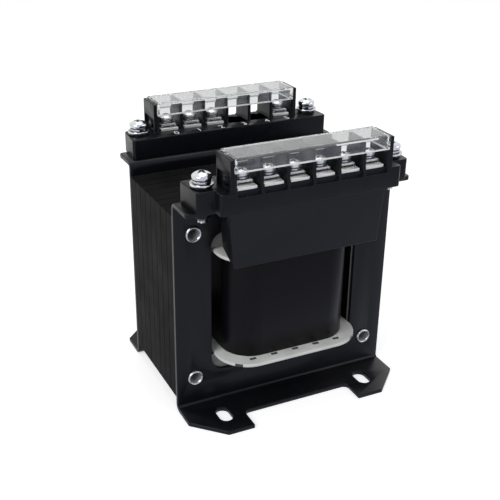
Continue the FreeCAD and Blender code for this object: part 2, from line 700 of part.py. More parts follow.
def make_block(label, turned):
    """One moulding: hollow base with ears, walled compartments and the apron over the coil."""
    body = keep(new_body(label))
    base = new_sketch(body, "top", "frame_height")
    ear_end = "(ear_half - ear_taper)"
    polygon(base, [("-ear_half", "-block_back"), ("-" + ear_end, "-ear_front"),
                   ("-block_half", "-ear_front"), ("-block_half", "-block_front"),
                   ("block_half", "-block_front"), ("block_half", "-ear_front"),
                   (ear_end, "-ear_front"), ("ear_half", "-block_back")])
    pad(body, base, "block_base_height")
    housing = new_sketch(body, "top", "base_top")
    rectangle(housing, "-housing_half", "housing_half", "-housing_front", "-housing_back")
    pad(body, housing, "housing_height")
    bosses = new_sketch(body, "top", "base_top")
    for sign in ("", "-"):
        circle(bosses, sign + "fixing_across", "-fixing_middle", "ear_boss_diameter")
    pad(body, bosses, "ear_boss_height")

    # Compartments, open to both sides, with a ledge under each wire entry
    rooms = new_sketch(body, "top", "housing_top")
    ways(rooms, "-(housing_front + overrun)", "-(housing_back - overrun)")
    pocket(body, rooms, "housing_height")
    ledges = new_sketch(body, "top", "base_top")
    ways(ledges, "-(block_front + overrun)", "-(block_front - ledge_width)")
    pocket(body, ledges, "ledge_depth")

    # Seat of the clear cover
    seat = new_sketch(body, "top", "housing_top")
    edge = "(cover_half + cover_clearance)"
    land = "(cover_half - cover_skirt - cover_clearance)"
    rim = "(cover_skirt + cover_clearance)"
    outside, inside = "-(housing_front + overrun)", "-(housing_back - overrun)"
    rectangle(seat, "-" + edge, edge, outside, inside)
    rectangle(seat, "-" + land, land, f"-(housing_front - {rim})", f"-(housing_back + {rim})")
    pocket(body, seat, "housing_top - cover_seat")
    lid = new_sketch(body, "top", "housing_top")
    rectangle(lid, "-" + edge, edge, outside, inside)
    pocket(body, lid, "housing_top - cover_under + cover_clearance")

    # Recess with a round boss in the outer face of both end walls
    for sign, backward in (("", False), ("-", True)):
        recess = new_sketch(body, "side", sign + "housing_half")
        rectangle(recess, "-(housing_front - recess_margin)", "-(housing_back + recess_margin)",
                  "base_top", "base_top + recess_height")
        pocket(body, recess, "recess_depth", backward=backward)
        stud = new_sketch(body, "side", f"{sign}(housing_half - recess_depth)")
        circle(stud, "-(housing_front + housing_back) / 2", "base_top + stud_rise",
               "stud_diameter")
        pad(body, stud, "stud_height", backward=backward)

    # Hollow underside
    hollow = new_sketch(body, "top", "frame_height")
    ways(hollow, "-apron_inside", "-(block_back + base_wall)")
    pocket(body, hollow, "block_base_height - floor_thickness", backward=True)

    # Apron: a profile as wide as its top, cut to its slanted sides and opened to the coil
    apron = new_sketch(body, "side")
    slot_edge = "-(flange_front + apron_clearance)"
    polygon(apron, [("-apron_front", "frame_height"), ("-apron_front", "apron_bottom"),
                    ("-apron_inside", "apron_bottom"),
                    ("-apron_back", "apron_bottom + apron_rise"),
                    ("-apron_back", "flange_under - apron_clearance"),
                    (slot_edge, "flange_under - apron_clearance"), (slot_edge, "frame_height")])
    pad(body, apron, "2 * apron_top_half", symmetric=True)
    sides = new_sketch(body, "front", "apron_front + overrun")
    for sign in ("", "-"):
        polygon(sides, [(sign + "apron_top_half", "frame_height"),
                        (sign + "apron_low_half", "apron_bottom"),
                        (sign + "apron_low_half", "apron_bottom - overrun"),
                        (sign + "(apron_top_half + overrun)", "apron_bottom - overrun"),
                        (sign + "(apron_top_half + overrun)", "frame_height")])
    pocket(body, sides, "apron_return + 2 * overrun")
    inside = new_sketch(body, "front", "apron_inside")
    top_half, low_half = "(apron_top_half - apron_wall)", "(apron_low_half - apron_wall)"
    polygon(inside, [("-" + top_half, "frame_height"), ("-" + low_half, "apron_bottom"),
                     ("-" + low_half, "apron_bottom - overrun"),
                     (low_half, "apron_bottom - overrun"), (low_half, "apron_bottom"),
                     (top_half, "frame_height")])
    pocket(body, inside, "apron_inside - apron_back + overrun")

    # Holes for the block screws, the terminal screws and the solder tails
    holes = new_sketch(body, "top", "fixing_seat")
    for sign in ("", "-"):
        circle(holes, sign + "fixing_across", "-fixing_middle", "ear_hole")
    pocket(body, holes, "ear_boss_height + block_base_height + overrun")
    wells, tails = new_sketch(body, "top", "base_top"), new_sketch(body, "top", "base_top")
    well, tail = "(clamp_shank / 2 + hole_clearance)", "(tail_width / 2 + hole_clearance)"
    for way in range(WAYS):
        middle = way_offset(way, "way_pitch")
        rectangle(wells, f"{middle} - {well}", f"{middle} + {well}",
                  f"-(clamp_centre + {well})", f"-(clamp_centre - {well})")
        rectangle(tails, f"{middle} - {tail}", f"{middle} + {tail}",
                  "-(tail_front + hole_clearance)", "-(tail_back - hole_clearance)")
    pocket(body, wells, "floor_thickness + overrun")
    pocket(body, tails, "floor_thickness + overrun")

    corners = [(number("block_half"), -number("block_front")),
               (number(ear_end), -number("ear_front")),
               (number("ear_half"), -number("block_back"))]
    low, high = number("frame_height"), number("base_top")
    bevel(body, lambda middle, tangent: upright(tangent) and low < middle.z < high
          and any(near(abs(middle.x), x) and near(middle.y, y) for x, y in corners),
          "moulded_bevel")
    place(body, turned=turned)


def make_cover(label, turned):
    """Clear cover: a lid with skirts that stands on the compartments' walls."""
    body = keep(new_body(label))
    outline = new_sketch(body, "top", "cover_seat")
    rectangle(outline, "-cover_half", "cover_half", "-housing_front", "-housing_back")
    pad(body, outline, "cover_drop")
    inside = new_sketch(body, "top", "cover_seat")
    edge = "(cover_half - cover_skirt)"
    rectangle(inside, "-" + edge, edge, "-(housing_front - cover_skirt)",
              "-(housing_back + cover_skirt)")
    pocket(body, inside, "cover_drop - cover_plate", backward=True)
    top = number("cover_top")
    bevel(body, lambda middle, tangent: near(middle.z, top), "cover_bevel")
    place(body, turned=turned)


# Terminals and their fasteners

def make_terminal(label, way, turned):
    """Terminal plate with a tapped hole and a solder tail bent down through the floor."""
    body = keep(new_body(label))
    strip = new_sketch(body, "top", "base_top")
    rectangle(strip, "-plate_width / 2", "plate_width / 2", "-plate_front",
              "-(plate_front - plate_length)")
    pad(body, strip, "plate_thickness")
    tail = new_sketch(body, "top", "base_top")
    rectangle(tail, "-tail_width / 2", "tail_width / 2", "-tail_front", "-tail_back")
    pad(body, tail, "tail_drop", backward=True)
    hole = new_sketch(body, "top", "clamp_seat")
    circle(hole, "0", "-clamp_centre", "clamp_shank + 2 * thread_clearance")
    pocket(body, hole)
    across = way_offset(way, "way_pitch")
    place(body, across=across, turned=turned)


def cross_recess(body, seat, head, depth):
    """Cut a cross recess into a screw head."""
    sketch = new_sketch(body, "top", seat)
    arm, reach = f"{head} * {CROSS_ARM} / 2", f"{head} * {CROSS_REACH}"
    corners = [(arm, arm), (arm, reach), (f"-({arm})", reach), (f"-({arm})", arm),
               (f"-({reach})", arm), (f"-({reach})", f"-({arm})"),
               (f"-({arm})", f"-({arm})"), (f"-({arm})", f"-({reach})"),
               (arm, f"-({reach})"), (arm, f"-({arm})"), (reach, f"-({arm})"), (reach, arm)]
    polygon(sketch, corners)
    pocket(body, sketch, depth)


def make_screw(label, shank, length, ring, ring_height, head, head_height):
    """Screw with a captive spring washer, standing on the underside of the washer."""
    body = new_body(label)
    sketch = new_sketch(body, "front")
    seat, top = ring_height, f"{ring_height} + {head_height}"
    polygon(sketch, [("0", f"-({length})"), (f"{shank} / 2", f"-({length})"),
                     (f"{shank} / 2", "0"), (f"{ring} / 2", "0"), (f"{ring} / 2", seat),
                     (f"{head} / 2", seat), (f"{head} / 2", top), ("0", top)])
    revolve(body, sketch)
    cross_recess(body, top, head, f"{head_height} * {CROSS_DEPTH}")
    return body


def make_flat_washer(label):
    body = new_body(label)
    ring = new_sketch(body, "top")
    circle(ring, "0", "0", "fixing_washer")
    circle(ring, "0", "0", "fixing_shank + 2 * hole_clearance")
    pad(body, ring, "fixing_washer_height")
    return body


def make_saddle(label):
    """Square clamp washer with two edges bent down onto the terminal plate."""
    body = new_body(label)
    sketch = new_sketch(body, "front")
    outer, inner = "saddle_size / 2", "(saddle_size / 2 - saddle_thickness)"
    top = "saddle_lip + saddle_thickness"
    polygon(sketch, [("-" + outer, "0"), ("-" + outer, top), (outer, top), (outer, "0"),
                     (inner, "0"), (inner, "saddle_lip"), ("-" + inner, "saddle_lip"),
                     ("-" + inner, "0")])
    pad(body, sketch, "saddle_size", symmetric=True)
    hole = new_sketch(body, "top", top)
    circle(hole, "0", "0", "clamp_shank + 2 * hole_clearance")
    pocket(body, hole)
    crease, side = number(top), number(outer)
    bevel(body, lambda middle, tangent: near(middle.z, crease) and near(abs(middle.x), side),
          "saddle_bend")
    return body


def clamp_places(ways_fitted, turned, up):
    along = "clamp_centre" if turned else "-clamp_centre"
    return [{"across": way_offset(way, "way_pitch"), "along": along, "up": up}
            for way in ways_fitted]


def fixing_places(up):
    return [{"across": across + "fixing_across", "along": along + "fixing_middle", "up": up}
            for along in ("-", "") for across in ("-", "")]


def make_fasteners():
    screw = make_screw("clamp_screw_master", "clamp_shank", "clamp_shank_length", "clamp_ring",
                       "clamp_ring_height", "clamp_head", "clamp_head_height")
    saddle = make_saddle("saddle_master")
    for side, fitted, turned in (("front", range(WAYS), False), ("rear", REAR_WAYS_FITTED, True)):
        group(f"{side}_terminal_screws", screw, clamp_places(fitted, turned, "saddle_top"))
        group(f"{side}_clamp_washers", saddle, clamp_places(fitted, turned, "clamp_seat"))
    screw = make_screw("fixing_screw_master", "fixing_shank", "fixing_length", "fixing_ring",
                       "fixing_ring_height", "fixing_head", "fixing_head_height")
    washer = make_flat_washer("fixing_washer_master")
    group("block_screws", screw, fixing_places("fixing_ring_seat"))
    group("block_flat_washers", washer, fixing_places("fixing_seat"))


# Leads between the coil and the terminals

def make_lead(label, way, side):
    """A lead from the top of its winding to the solder tail of its terminal, in three runs."""
    at_coil, at_tail = number(way_offset(way, "lead_pitch")), number(way_offset(way, "way_pitch"))
    sign = 1 if side == "rear" else -1
    along, line = sign * number(LEAD_START[side]), sign * number("lead_line")
    low, end = number("coil_top"), number("tail_end + lead_overlap")
    turn = number("coil_top + lead_rise")
    path = Part.makePolygon([Vector(at_coil, along, low), Vector(at_coil, along, turn),
                             Vector(at_tail, line, turn + number("lead_slant")),
                             Vector(at_tail, line, end)])
    radius = number("lead_diameter") / 2
    corners = []
    for corner in range(LEAD_SIDES + 1):
        angle = 2 * math.pi * (corner + 0.5) / LEAD_SIDES
        corners.append(Vector(at_coil + radius * math.cos(angle),
                              along + radius * math.sin(angle), low))
    lead = keep(doc.addObject("Part::Feature", label))
    lead.Label = label
    lead.Shape = path.makePipeShell([Part.makePolygon(corners)], True, True, 1)
    lead.Placement = FreeCAD.Placement()


def check_document():
    """Stop if any object of the document failed or any sub-part has no sound shape."""
    doc.recompute()
    for item in doc.Objects:
        if "Invalid" in item.State or "Error" in item.State:
            raise RuntimeError(f"{item.Label} failed: {item.State}")
    for piece in NODES:
        if piece.Shape.isNull() or not piece.Shape.isValid() or not piece.Shape.Solids:
            raise RuntimeError(f"{piece.Label} has no sound shape")


make_core()
make_frame("front_frame", turned=False)
make_frame("rear_frame", turned=True)
for height_name, height_cell in (("lower", "rivet_low"), ("upper", "rivet_high")):
    make_rivet(f"{height_name}_left_rivet", "-rivet_across", height_cell)
    make_rivet(f"{height_name}_right_rivet", "rivet_across", height_cell)
make_bobbin()
make_layer("primary_winding", "primary_start", "primary_end")
make_layer("winding_barrier", "barrier_start", "barrier_end")
make_layer("secondary_winding", "secondary_start", "secondary_end")
make_layer("outer_tape", "tape_start", "coil_build")
make_block("front_terminal_block", turned=False)
make_block("rear_terminal_block", turned=True)
make_cover("front_cover", turned=False)
make_cover("rear_cover", turned=True)
for way_index in range(WAYS):
    make_terminal(f"front_terminal_{way_index + 1}", way_index, turned=False)
    make_lead(f"front_lead_{way_index + 1}", way_index, "front")
for way_index in REAR_WAYS_FITTED:
    make_terminal(f"rear_terminal_{way_index}", way_index, turned=True)
    make_lead(f"rear_lead_{way_index}", way_index, "rear")
make_fasteners()

check_document()
os.makedirs("parts", exist_ok=True)
for piece in NODES:
    piece.Shape.exportStep(f"parts/{piece.Label}.step")
print(len(NODES), "nodes,", sum(len(piece.Shape.Solids) for piece in NODES), "solids")
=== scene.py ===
"""Laminated chassis transformer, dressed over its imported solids.

Softened edges, screws, rivets, numerals and finishes are added round the frame, which keeps every
place and size, and a plain photo stage is set up round it. Lengths are written in millimetres,
and the stage's places in metres.
"""
import math

import bmesh
import bpy
from mathutils import Matrix, Vector


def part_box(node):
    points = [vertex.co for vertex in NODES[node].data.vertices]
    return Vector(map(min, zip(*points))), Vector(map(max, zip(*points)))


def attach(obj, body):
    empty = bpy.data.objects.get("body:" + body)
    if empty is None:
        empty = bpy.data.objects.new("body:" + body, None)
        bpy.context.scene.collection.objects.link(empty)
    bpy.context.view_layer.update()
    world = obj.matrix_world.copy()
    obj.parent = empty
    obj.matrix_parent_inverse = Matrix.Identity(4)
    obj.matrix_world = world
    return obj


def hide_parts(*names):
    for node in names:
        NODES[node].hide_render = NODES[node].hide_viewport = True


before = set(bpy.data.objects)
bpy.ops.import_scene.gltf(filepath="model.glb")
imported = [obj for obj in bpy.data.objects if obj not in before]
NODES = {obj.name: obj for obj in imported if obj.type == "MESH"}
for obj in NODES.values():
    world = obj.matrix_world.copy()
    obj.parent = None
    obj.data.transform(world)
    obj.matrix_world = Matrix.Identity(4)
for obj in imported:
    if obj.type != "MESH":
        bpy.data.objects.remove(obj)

bl_info = {
    "name": "Laminated chassis transformer",
    "version": (1, 0, 0),
    "blender": (4, 5, 0),
    "location": "View3D > Sidebar > Transformer",
    "description": "Dresses the packed solids of a laminated chassis transformer",
    "category": "Object",
}


def mm(length):
    """Millimetres as metres."""
    return length / 1000


def in_mm(length):
    """Metres as millimetres."""
    return length * 1000


FULL_TURN = 2 * math.pi
# Faces that turn less than the first angle merge, and past the others there is a crease
FLAT_ANGLE = math.radians(1)
CREASE_ANGLE = math.radians(38)
LEAD_ANGLE = math.radians(50)
MERGE_DISTANCE = mm(0.002)
EDGE_SEGMENTS = 2
RIVET_STEPS = 40
HEAD_STEPS = 36
DOME_STEPS = 6
SHANK_STEPS = 18
RING_STEPS = 30
FLOOR_STEPS = 96

# A screw's domed head: shares of its radius, of its height and of its edge's height
DOME_REACH = 0.97
CROWN_SHARE = 0.45
EDGE_SHARE = 0.16
SHOULDER_DROP = 0.6
HEAD_FOOT = ((1, 1.6), (0.96, 0.8), (0.82, 0))
# Its cross recess: length and width as shares of the radius, taper, and level in the height
RECESS_SIZE = (1.3, 0.3)
RECESS_TAPER = (0.45, 0.7, 1)
RECESS_LEVEL = 0.95
# Its spring washer: the section's share of the height, the cut, and the gap round the shank
RING_SECTION = 0.76
RING_CUT = math.radians(14)
SHANK_GAP = 0.12
SCREW_TURNS = [math.radians(angle) for angle in (20, 64, 8, 47, 76, 33)]

# A rivet's throat and rolled mouth: shares of its wall from the bore, with heights above the
# funnel's foot and depths below the end. Its rim and lip: steps inwards, and down or up
RIVET_THROAT = (0.12, 0.5)
RIVET_MOUTH = ((0.3, 0.5), (0.42, 0.18), (0.54, 0.04), (0.66, 0), (0.8, 0.1))
RIVET_RIM = (0.08, 0.3)
RIVET_LIP = (0.06, 0.15)

# Middles of the numerals across the rear block, and the width that is left of the font's
NUMERAL_PLACES = (-21.9, -12.8, -3.8, 5.8, 15.4, 24.0)
NUMERAL_NARROWING = 0.85
# Width of the bobbin's rim outside its slots, and the most that a slot wall's normal rises
FLANGE_RIM = 2.0
WALL_RISE = 0.5
# Depth within which the outermost sheet shows its bare face
SHEET_SKIN = 0.05

# Middle range of a noise, which a pattern spreads between its limits
PATTERN_RANGE = (0.3, 0.7)
# Depths below a cover's top between which its haze fades, and heights of its white lower edge
COVER_HAZE = (0.5, 0.1)
COVER_EDGE = (0.25, 0.4)
# Shares of light that pass through a cover's skirt, its top and its lower edge
COVER_CLEARNESS = (0.98, 0.84)
EDGE_CLEARNESS = 0.1
# Metallic and least roughness of new zinc plating and of plating that has been handled
BRIGHT_PLATING = (1.0, 0.08)
CLOUDY_PLATING = (0.65, 0.22)
GLOSS_SPREAD = 0.08
# Width over which painted shade darkens a crease between zinc-plated faces
PAINTED_SHADE_REACH = 2.0
# Drawn spacing of the wire's turns and of the sleeves' weave
TURN_PITCH = 0.8
WEAVE_PITCH = 0.4
# Bands of a wave texture of scale 1 in one unit of length
WAVE_BANDS = 3

FLOOR_RADIUS = 1.6
FLOOR_DROP = 0.00005
# Where the mirrored light turns from the front's to the back's, on the floor and in the room
FLOOR_CHANGE = (-0.03, 0.04)
ROOM_CHANGE = (-0.4, 0.4)
# Each lamp's name, the property with its power, its size and its place
LAMPS = (("key_light", "key_power", 0.55, (-0.75, -0.35, 0.65)),
         ("top_light", "top_power", 0.5, (0.1, 0.15, 0.95)),
         ("fill_light", "fill_power", 0.6, (0.8, -0.6, 0.5)))
LAMP_TARGET = (0, 0, 0.05)
VIEW_DEPTH = (0.01, 20.0)


def linear(code):
    """An sRGB hex colour as a linear one with full alpha."""
    parts = [int(code[start:start + 2], 16) / 255 for start in (1, 3, 5)]
    return tuple(part / 12.92 if part <= 0.04045 else ((part + 0.055) / 1.055) ** 2.4
                 for part in parts) + (1.0,)


def colour_property(name, description, code):
    """A colour that a user may change, from its hex code."""
    return bpy.props.FloatVectorProperty(name=name, description=description, subtype="COLOR",
                                         size=4, min=0, max=1, default=linear(code))


def length_property(name, description, length):
    """A length that a user may change, from its millimetres."""
    return bpy.props.FloatProperty(name=name, description=description, unit="LENGTH", min=0,
                                   precision=5, default=mm(length))


def number_property(name, description, number, **settings):
    """A number that a user may change."""
    return bpy.props.FloatProperty(name=name, description=description, default=number, **settings)


class TransformerSizes(bpy.types.PropertyGroup):
    """Fine sizes that the solids leave out."""
    sheet_edge: length_property("Sheet edge", "Rounding of the painted sheet's edges", 0.22)
    moulded_edge: length_property("Moulded edge", "Rounding of the moulded plastic's edges", 0.22)
    flange_edge: length_property("Bobbin edge", "Rounding of the bobbin's edges", 0.12)
    metal_edge: length_property("Metal edge", "Rounding of plates and washers", 0.1)
    sheet_pitch: length_property("Sheet pitch", "Spacing of the core's lamination lines", 1.0)
    rivet_bore: length_property("Rivet bore", "Bore of the tubular rivets", 3.3)
    rivet_shank: length_property("Rivet shank", "Outer diameter of the tubular rivets", 4.4)
    rivet_rise: length_property("Rivet rise", "Height of the rolled rivet heads", 0.7)
    rivet_funnel: length_property("Rivet funnel", "Depth of the flared mouth of a rivet", 1.5)
    clamp_shank: length_property("Terminal screw", "Diameter of a terminal screw", 3.0)
    clamp_pitch: length_property("Terminal screw pitch", "Thread pitch", 0.5)
    clamp_head: length_property("Terminal screw head", "Height of the head", 2.3)
    clamp_ring: length_property("Terminal screw ring", "Spring washer's diameter", 5.2)
    clamp_ring_rise: length_property("Terminal ring rise", "Spring washer's height", 0.8)
    fixing_shank: length_property("Block screw", "Diameter of a block screw", 3.5)
    fixing_pitch: length_property("Block screw pitch", "Thread pitch", 0.6)
    fixing_head: length_property("Block screw head", "Height of the head", 2.8)
    fixing_ring: length_property("Block screw ring", "Spring washer's diameter", 6.0)
    fixing_ring_rise: length_property("Block ring rise", "Spring washer's height", 1.0)
    thread_depth: length_property("Thread depth", "Depth of the threads", 0.2)
    screw_edge: length_property("Screw edge", "Rounding of the screws' edges", 0.06)
    numeral_size: length_property("Numeral size", "Font size of the printed numerals", 4.6)
    numeral_film: length_property("Ink film", "Thickness of the printed numerals", 0.03)
    numeral_line: length_property("Numeral line", "Numerals' middle from the block's edge", 2.6)


class TransformerColours(bpy.types.PropertyGroup):
    """Base colours of the finishes."""
    paint: colour_property("Paint", "Black enamel on the pressed frames", "#0b0c10")
    varnish: colour_property("Varnish", "Dipping varnish on the sheets' edges", "#131313")
    bare_steel: colour_property("Bare steel", "Face of the outermost sheets", "#8f8f8c")
    # Painted shade: this colour darkens the walls of the bobbin's slots
    pool: colour_property("Pooled varnish", "Varnish left in the bobbin's slots", "#45433f")
    moulding: colour_property("Moulding", "Black moulded terminal blocks", "#111216")
    nylon: colour_property("Nylon", "Natural nylon of the bobbin", "#e2e4e1")
    tape: colour_property("Tape", "Black film tape round the coil", "#0b0a0d")
    cover: colour_property("Cover", "Clear covers", "#eef0f0")
    cover_top: colour_property("Cover's top", "Rubbed top of the clear covers", "#d2d3d3")
    zinc: colour_property("Zinc", "Bright zinc on screws and washers", "#e6e8e8")
    nickel: colour_property("Nickel", "Plated brass of the terminals", "#f4f2ee")
    copper: colour_property("Copper", "Enamelled winding wire", "#a2532f")
    film: colour_property("Barrier film", "Insulation between the windings", "#c99a3c")
    sleeve: colour_property("Sleeve", "Sleeving of the leads", "#20201f")
    ink: colour_property("Ink", "Printed numerals", "#ececea")
    floor: colour_property("Floor", "Floor of the stage", "#d8d8da")


class TransformerStage(bpy.types.PropertyGroup):
    """Camera and lights."""
    azimuth: number_property("Azimuth", "Camera to the left of the front",
                             math.radians(-24.389), subtype="ANGLE")
    elevation: number_property("Elevation", "Camera above the horizon", math.radians(25.330),
                               subtype="ANGLE")
    roll: number_property("Roll", "Camera turned about its line of view", math.radians(-0.045),
                          subtype="ANGLE")
    distance: length_property("Distance", "Camera from the point that it aims at", 322.71)
    target: bpy.props.FloatVectorProperty(name="Target", description="Point the camera aims at",
                                          subtype="TRANSLATION", unit="LENGTH",
                                          default=(mm(-15.43), 0, mm(49.50)))
    lens: number_property("Lens", "Focal length in millimetres", 63.36)
    shift: bpy.props.FloatVectorProperty(name="Shift", description="Shift of the picture's centre",
                                         size=2, default=(0.059, 0.0))
    key_power: number_property("Key light", "Soft light from the left", 4.2, unit="POWER")
    top_power: number_property("Top light", "Soft light from above", 2.4, unit="POWER")
    fill_power: number_property("Fill light", "Weak light from the right", 1.2, unit="POWER")
    ambient: number_property("Ambient", "Even light of the room", 0.42)
    front_light: colour_property("Front light", "Light mirrored from the front", "#d4d7e7")
    back_light: colour_property("Back light", "Light mirrored from behind", "#f9f9f9")
    floor_glow: number_property("Floor glow", "Floor's own light in the picture", 0.6)


# Meshes

def show(name, bm, material, *nodes):
    """Make a shaded object of a bmesh, which stands for the named nodes."""
    mesh = bpy.data.meshes.new(name)
    bm.to_mesh(mesh)
    bm.free()
    mesh.materials.append(material)
    piece = bpy.data.objects.new(name, mesh)
    bpy.context.scene.collection.objects.link(piece)
    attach(piece, "root")
    if nodes:
        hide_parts(*nodes)
    return piece


def smooth(piece, angle=CREASE_ANGLE):
    """Shade a piece smooth, apart from its creases."""
    piece.data.shade_smooth()
    piece.data.set_sharp_from_angle(angle=angle)


def soften(piece, width):
    """Round a piece's creases with a modifier."""
    piece.data.shade_smooth()
    modifier = piece.modifiers.new("Soft edges", "BEVEL")
    modifier.width = width
    modifier.segments = EDGE_SEGMENTS
    modifier.limit_method = "ANGLE"
    modifier.angle_limit = CREASE_ANGLE
    modifier.use_clamp_overlap = False
    modifier.harden_normals = True


def merged_copy(node):
    """A node's mesh with its triangles merged into whole faces."""
    bm = bmesh.new()
    bm.from_mesh(NODES[node].data)
    bmesh.ops.remove_doubles(bm, verts=bm.verts, dist=MERGE_DISTANCE)
    bmesh.ops.dissolve_limit(bm, angle_limit=FLAT_ANGLE, verts=bm.verts, edges=bm.edges)
    return bm


def dress(node, width, material):
    """Stand a copy with softened edges in a node's place."""
    piece = show(node + "_dressed", merged_copy(node), material, node)
    soften(piece, width)
    return piece


def second_finish(piece, material, wanted):
    """Give the faces of a piece that pass a test another material."""
    piece.data.materials.append(material)
    for face in piece.data.polygons:
        if wanted(face):
            face.material_index = 1


def finish_node(node, material):
    """Give a node that stays its finish."""
    mesh = NODES[node].data
    mesh.materials.clear()
    mesh.materials.append(material)


def chain(bm, points, closed=False):
    """A line of edges through (radius, height) points given in millimetres."""
    verts = [bm.verts.new((mm(radius), 0, mm(height))) for radius, height in points]
    edges = [bm.edges.new(pair) for pair in zip(verts, verts[1:])]
    if closed:
        edges.append(bm.edges.new((verts[-1], verts[0])))
    return verts + edges


def turn(bm, profile, steps, closed=False):
    """Spin a profile once round Z."""
    bmesh.ops.spin(bm, geom=chain(bm, profile, closed), cent=(0, 0, 0), axis=(0, 0, 1),
                   angle=FULL_TURN, steps=steps, use_merge=True)
    bmesh.ops.remove_doubles(bm, verts=bm.verts, dist=MERGE_DISTANCE)
    bmesh.ops.recalc_face_normals(bm, faces=bm.faces)


def boolean_mesh(bm, cutters):
    """Cut bmeshes out of another with exact booleans."""
    mesh = bpy.data.meshes.new("work")
    bm.to_mesh(mesh)
    bm.free()
    work = bpy.data.objects.new("work", mesh)
    bpy.context.scene.collection.objects.link(work)
    helpers = []
    for cutter in cutters:
        cutter_mesh = bpy.data.meshes.new("cutter")
        cutter.to_mesh(cutter_mesh)
        cutter.free()
        helper = bpy.data.objects.new("cutter", cutter_mesh)
        bpy.context.scene.collection.objects.link(helper)
        modifier = work.modifiers.new("Cut", "BOOLEAN")
        modifier.object = helper
        modifier.solver = "EXACT"
        helpers.append(helper)
    evaluated = work.evaluated_get(bpy.context.evaluated_depsgraph_get())
    result = bmesh.new()
    result.from_mesh(bpy.data.meshes.new_from_object(evaluated))
    for helper in helpers + [work]:
        bpy.data.objects.remove(helper)
    return result


def join(bm, other, matrix):
    """Add a copy of one bmesh, placed by a matrix, to another."""
    mesh = bpy.data.meshes.new("copy")
    other.to_mesh(mesh)
    mesh.transform(matrix)
    bm.from_mesh(mesh)
    bpy.data.meshes.remove(mesh)


# Finishes

def add_node(tree, kind, inputs=None, **settings):
    """Add a node with its settings, and its inputs as values or links."""
    node = tree.nodes.new(kind)
    for name, value in settings.items():
        setattr(node, name, value)
    # A Mix node's inputs go by number: 2 and 3 are its plain values, 6 and 7 its colours
    for name, value in (inputs or {}).items():
        if isinstance(value, bpy.types.NodeSocket):
            tree.links.new(value, node.inputs[name])
        else:
            node.inputs[name].default_value = value
    return node


def new_finish(name, **values):
    """A material with a shader set by values, and the Object coordinates that patterns read."""
    material = bpy.data.materials.new(name)
    material.use_nodes = True
    tree = material.node_tree
    shader = tree.nodes["Principled BSDF"]
    for socket, value in values.items():
        shader.inputs[socket.replace("_", " ")].default_value = value
    place = add_node(tree, "ShaderNodeTexCoord").outputs["Object"]
    return material, tree, shader, place


def spots(tree, place, size, detail, low, high):
    """A value that goes between two limits in soft spots of a size in millimetres."""
    cloud = add_node(tree, "ShaderNodeTexNoise", {"Vector": place, "Scale": 1 / mm(size),
                                                  "Detail": detail}).outputs["Fac"]
    return add_node(tree, "ShaderNodeMapRange",
                    {"Value": cloud, "From Min": PATTERN_RANGE[0], "From Max": PATTERN_RANGE[1],
                     "To Min": low, "To Max": high}).outputs["Result"]


def vary(tree, shader, place, colour, tone, gloss=None, relief=None):
    """Vary a finish in soft spots.

    tone and gloss hold the spots' size in millimetres, their detail, and the least and most of
    the colour's lightness and of the roughness. relief holds size, detail, strength and depth.
    """
    toned = add_node(tree, "ShaderNodeVectorMath",
                     {0: colour[:3], "Scale": spots(tree, place, *tone)},
                     operation="SCALE").outputs["Vector"]
    tree.links.new(toned, shader.inputs["Base Color"])
    if gloss is not None:
        tree.links.new(spots(tree, place, *gloss), shader.inputs["Roughness"])
    if relief is not None:
        size, detail, strength, depth = relief
        height = add_node(tree, "ShaderNodeTexNoise", {"Vector": place, "Scale": 1 / mm(size),
                                                       "Detail": detail}).outputs["Fac"]
        bump = add_node(tree, "ShaderNodeBump", {"Height": height, "Strength": strength,
                                                 "Distance": mm(depth)})
        tree.links.new(bump.outputs["Normal"], shader.inputs["Normal"])
    return toned


def spotted_finish(name, colour, tone, gloss=None, relief=None, **values):
    """A finish that varies in soft spots alone."""
    material, tree, shader, place = new_finish(name, **values)
    vary(tree, shader, place, colour, tone, gloss, relief)
    return material


def semi_gloss_black_paint(colours):
    # Stoved enamel sprayed on pressed sheet: an even black with a soft sheen and faint orange peel
    return spotted_finish("semi_gloss_black_paint", colours.paint, tone=(14.0, 2.0, 0.86, 1.14),
                          gloss=(5.0, 2.0, 0.3, 0.38), relief=(1.6, 3.0, 0.1, 0.05), IOR=1.5,
                          Specular_IOR_Level=0.26)


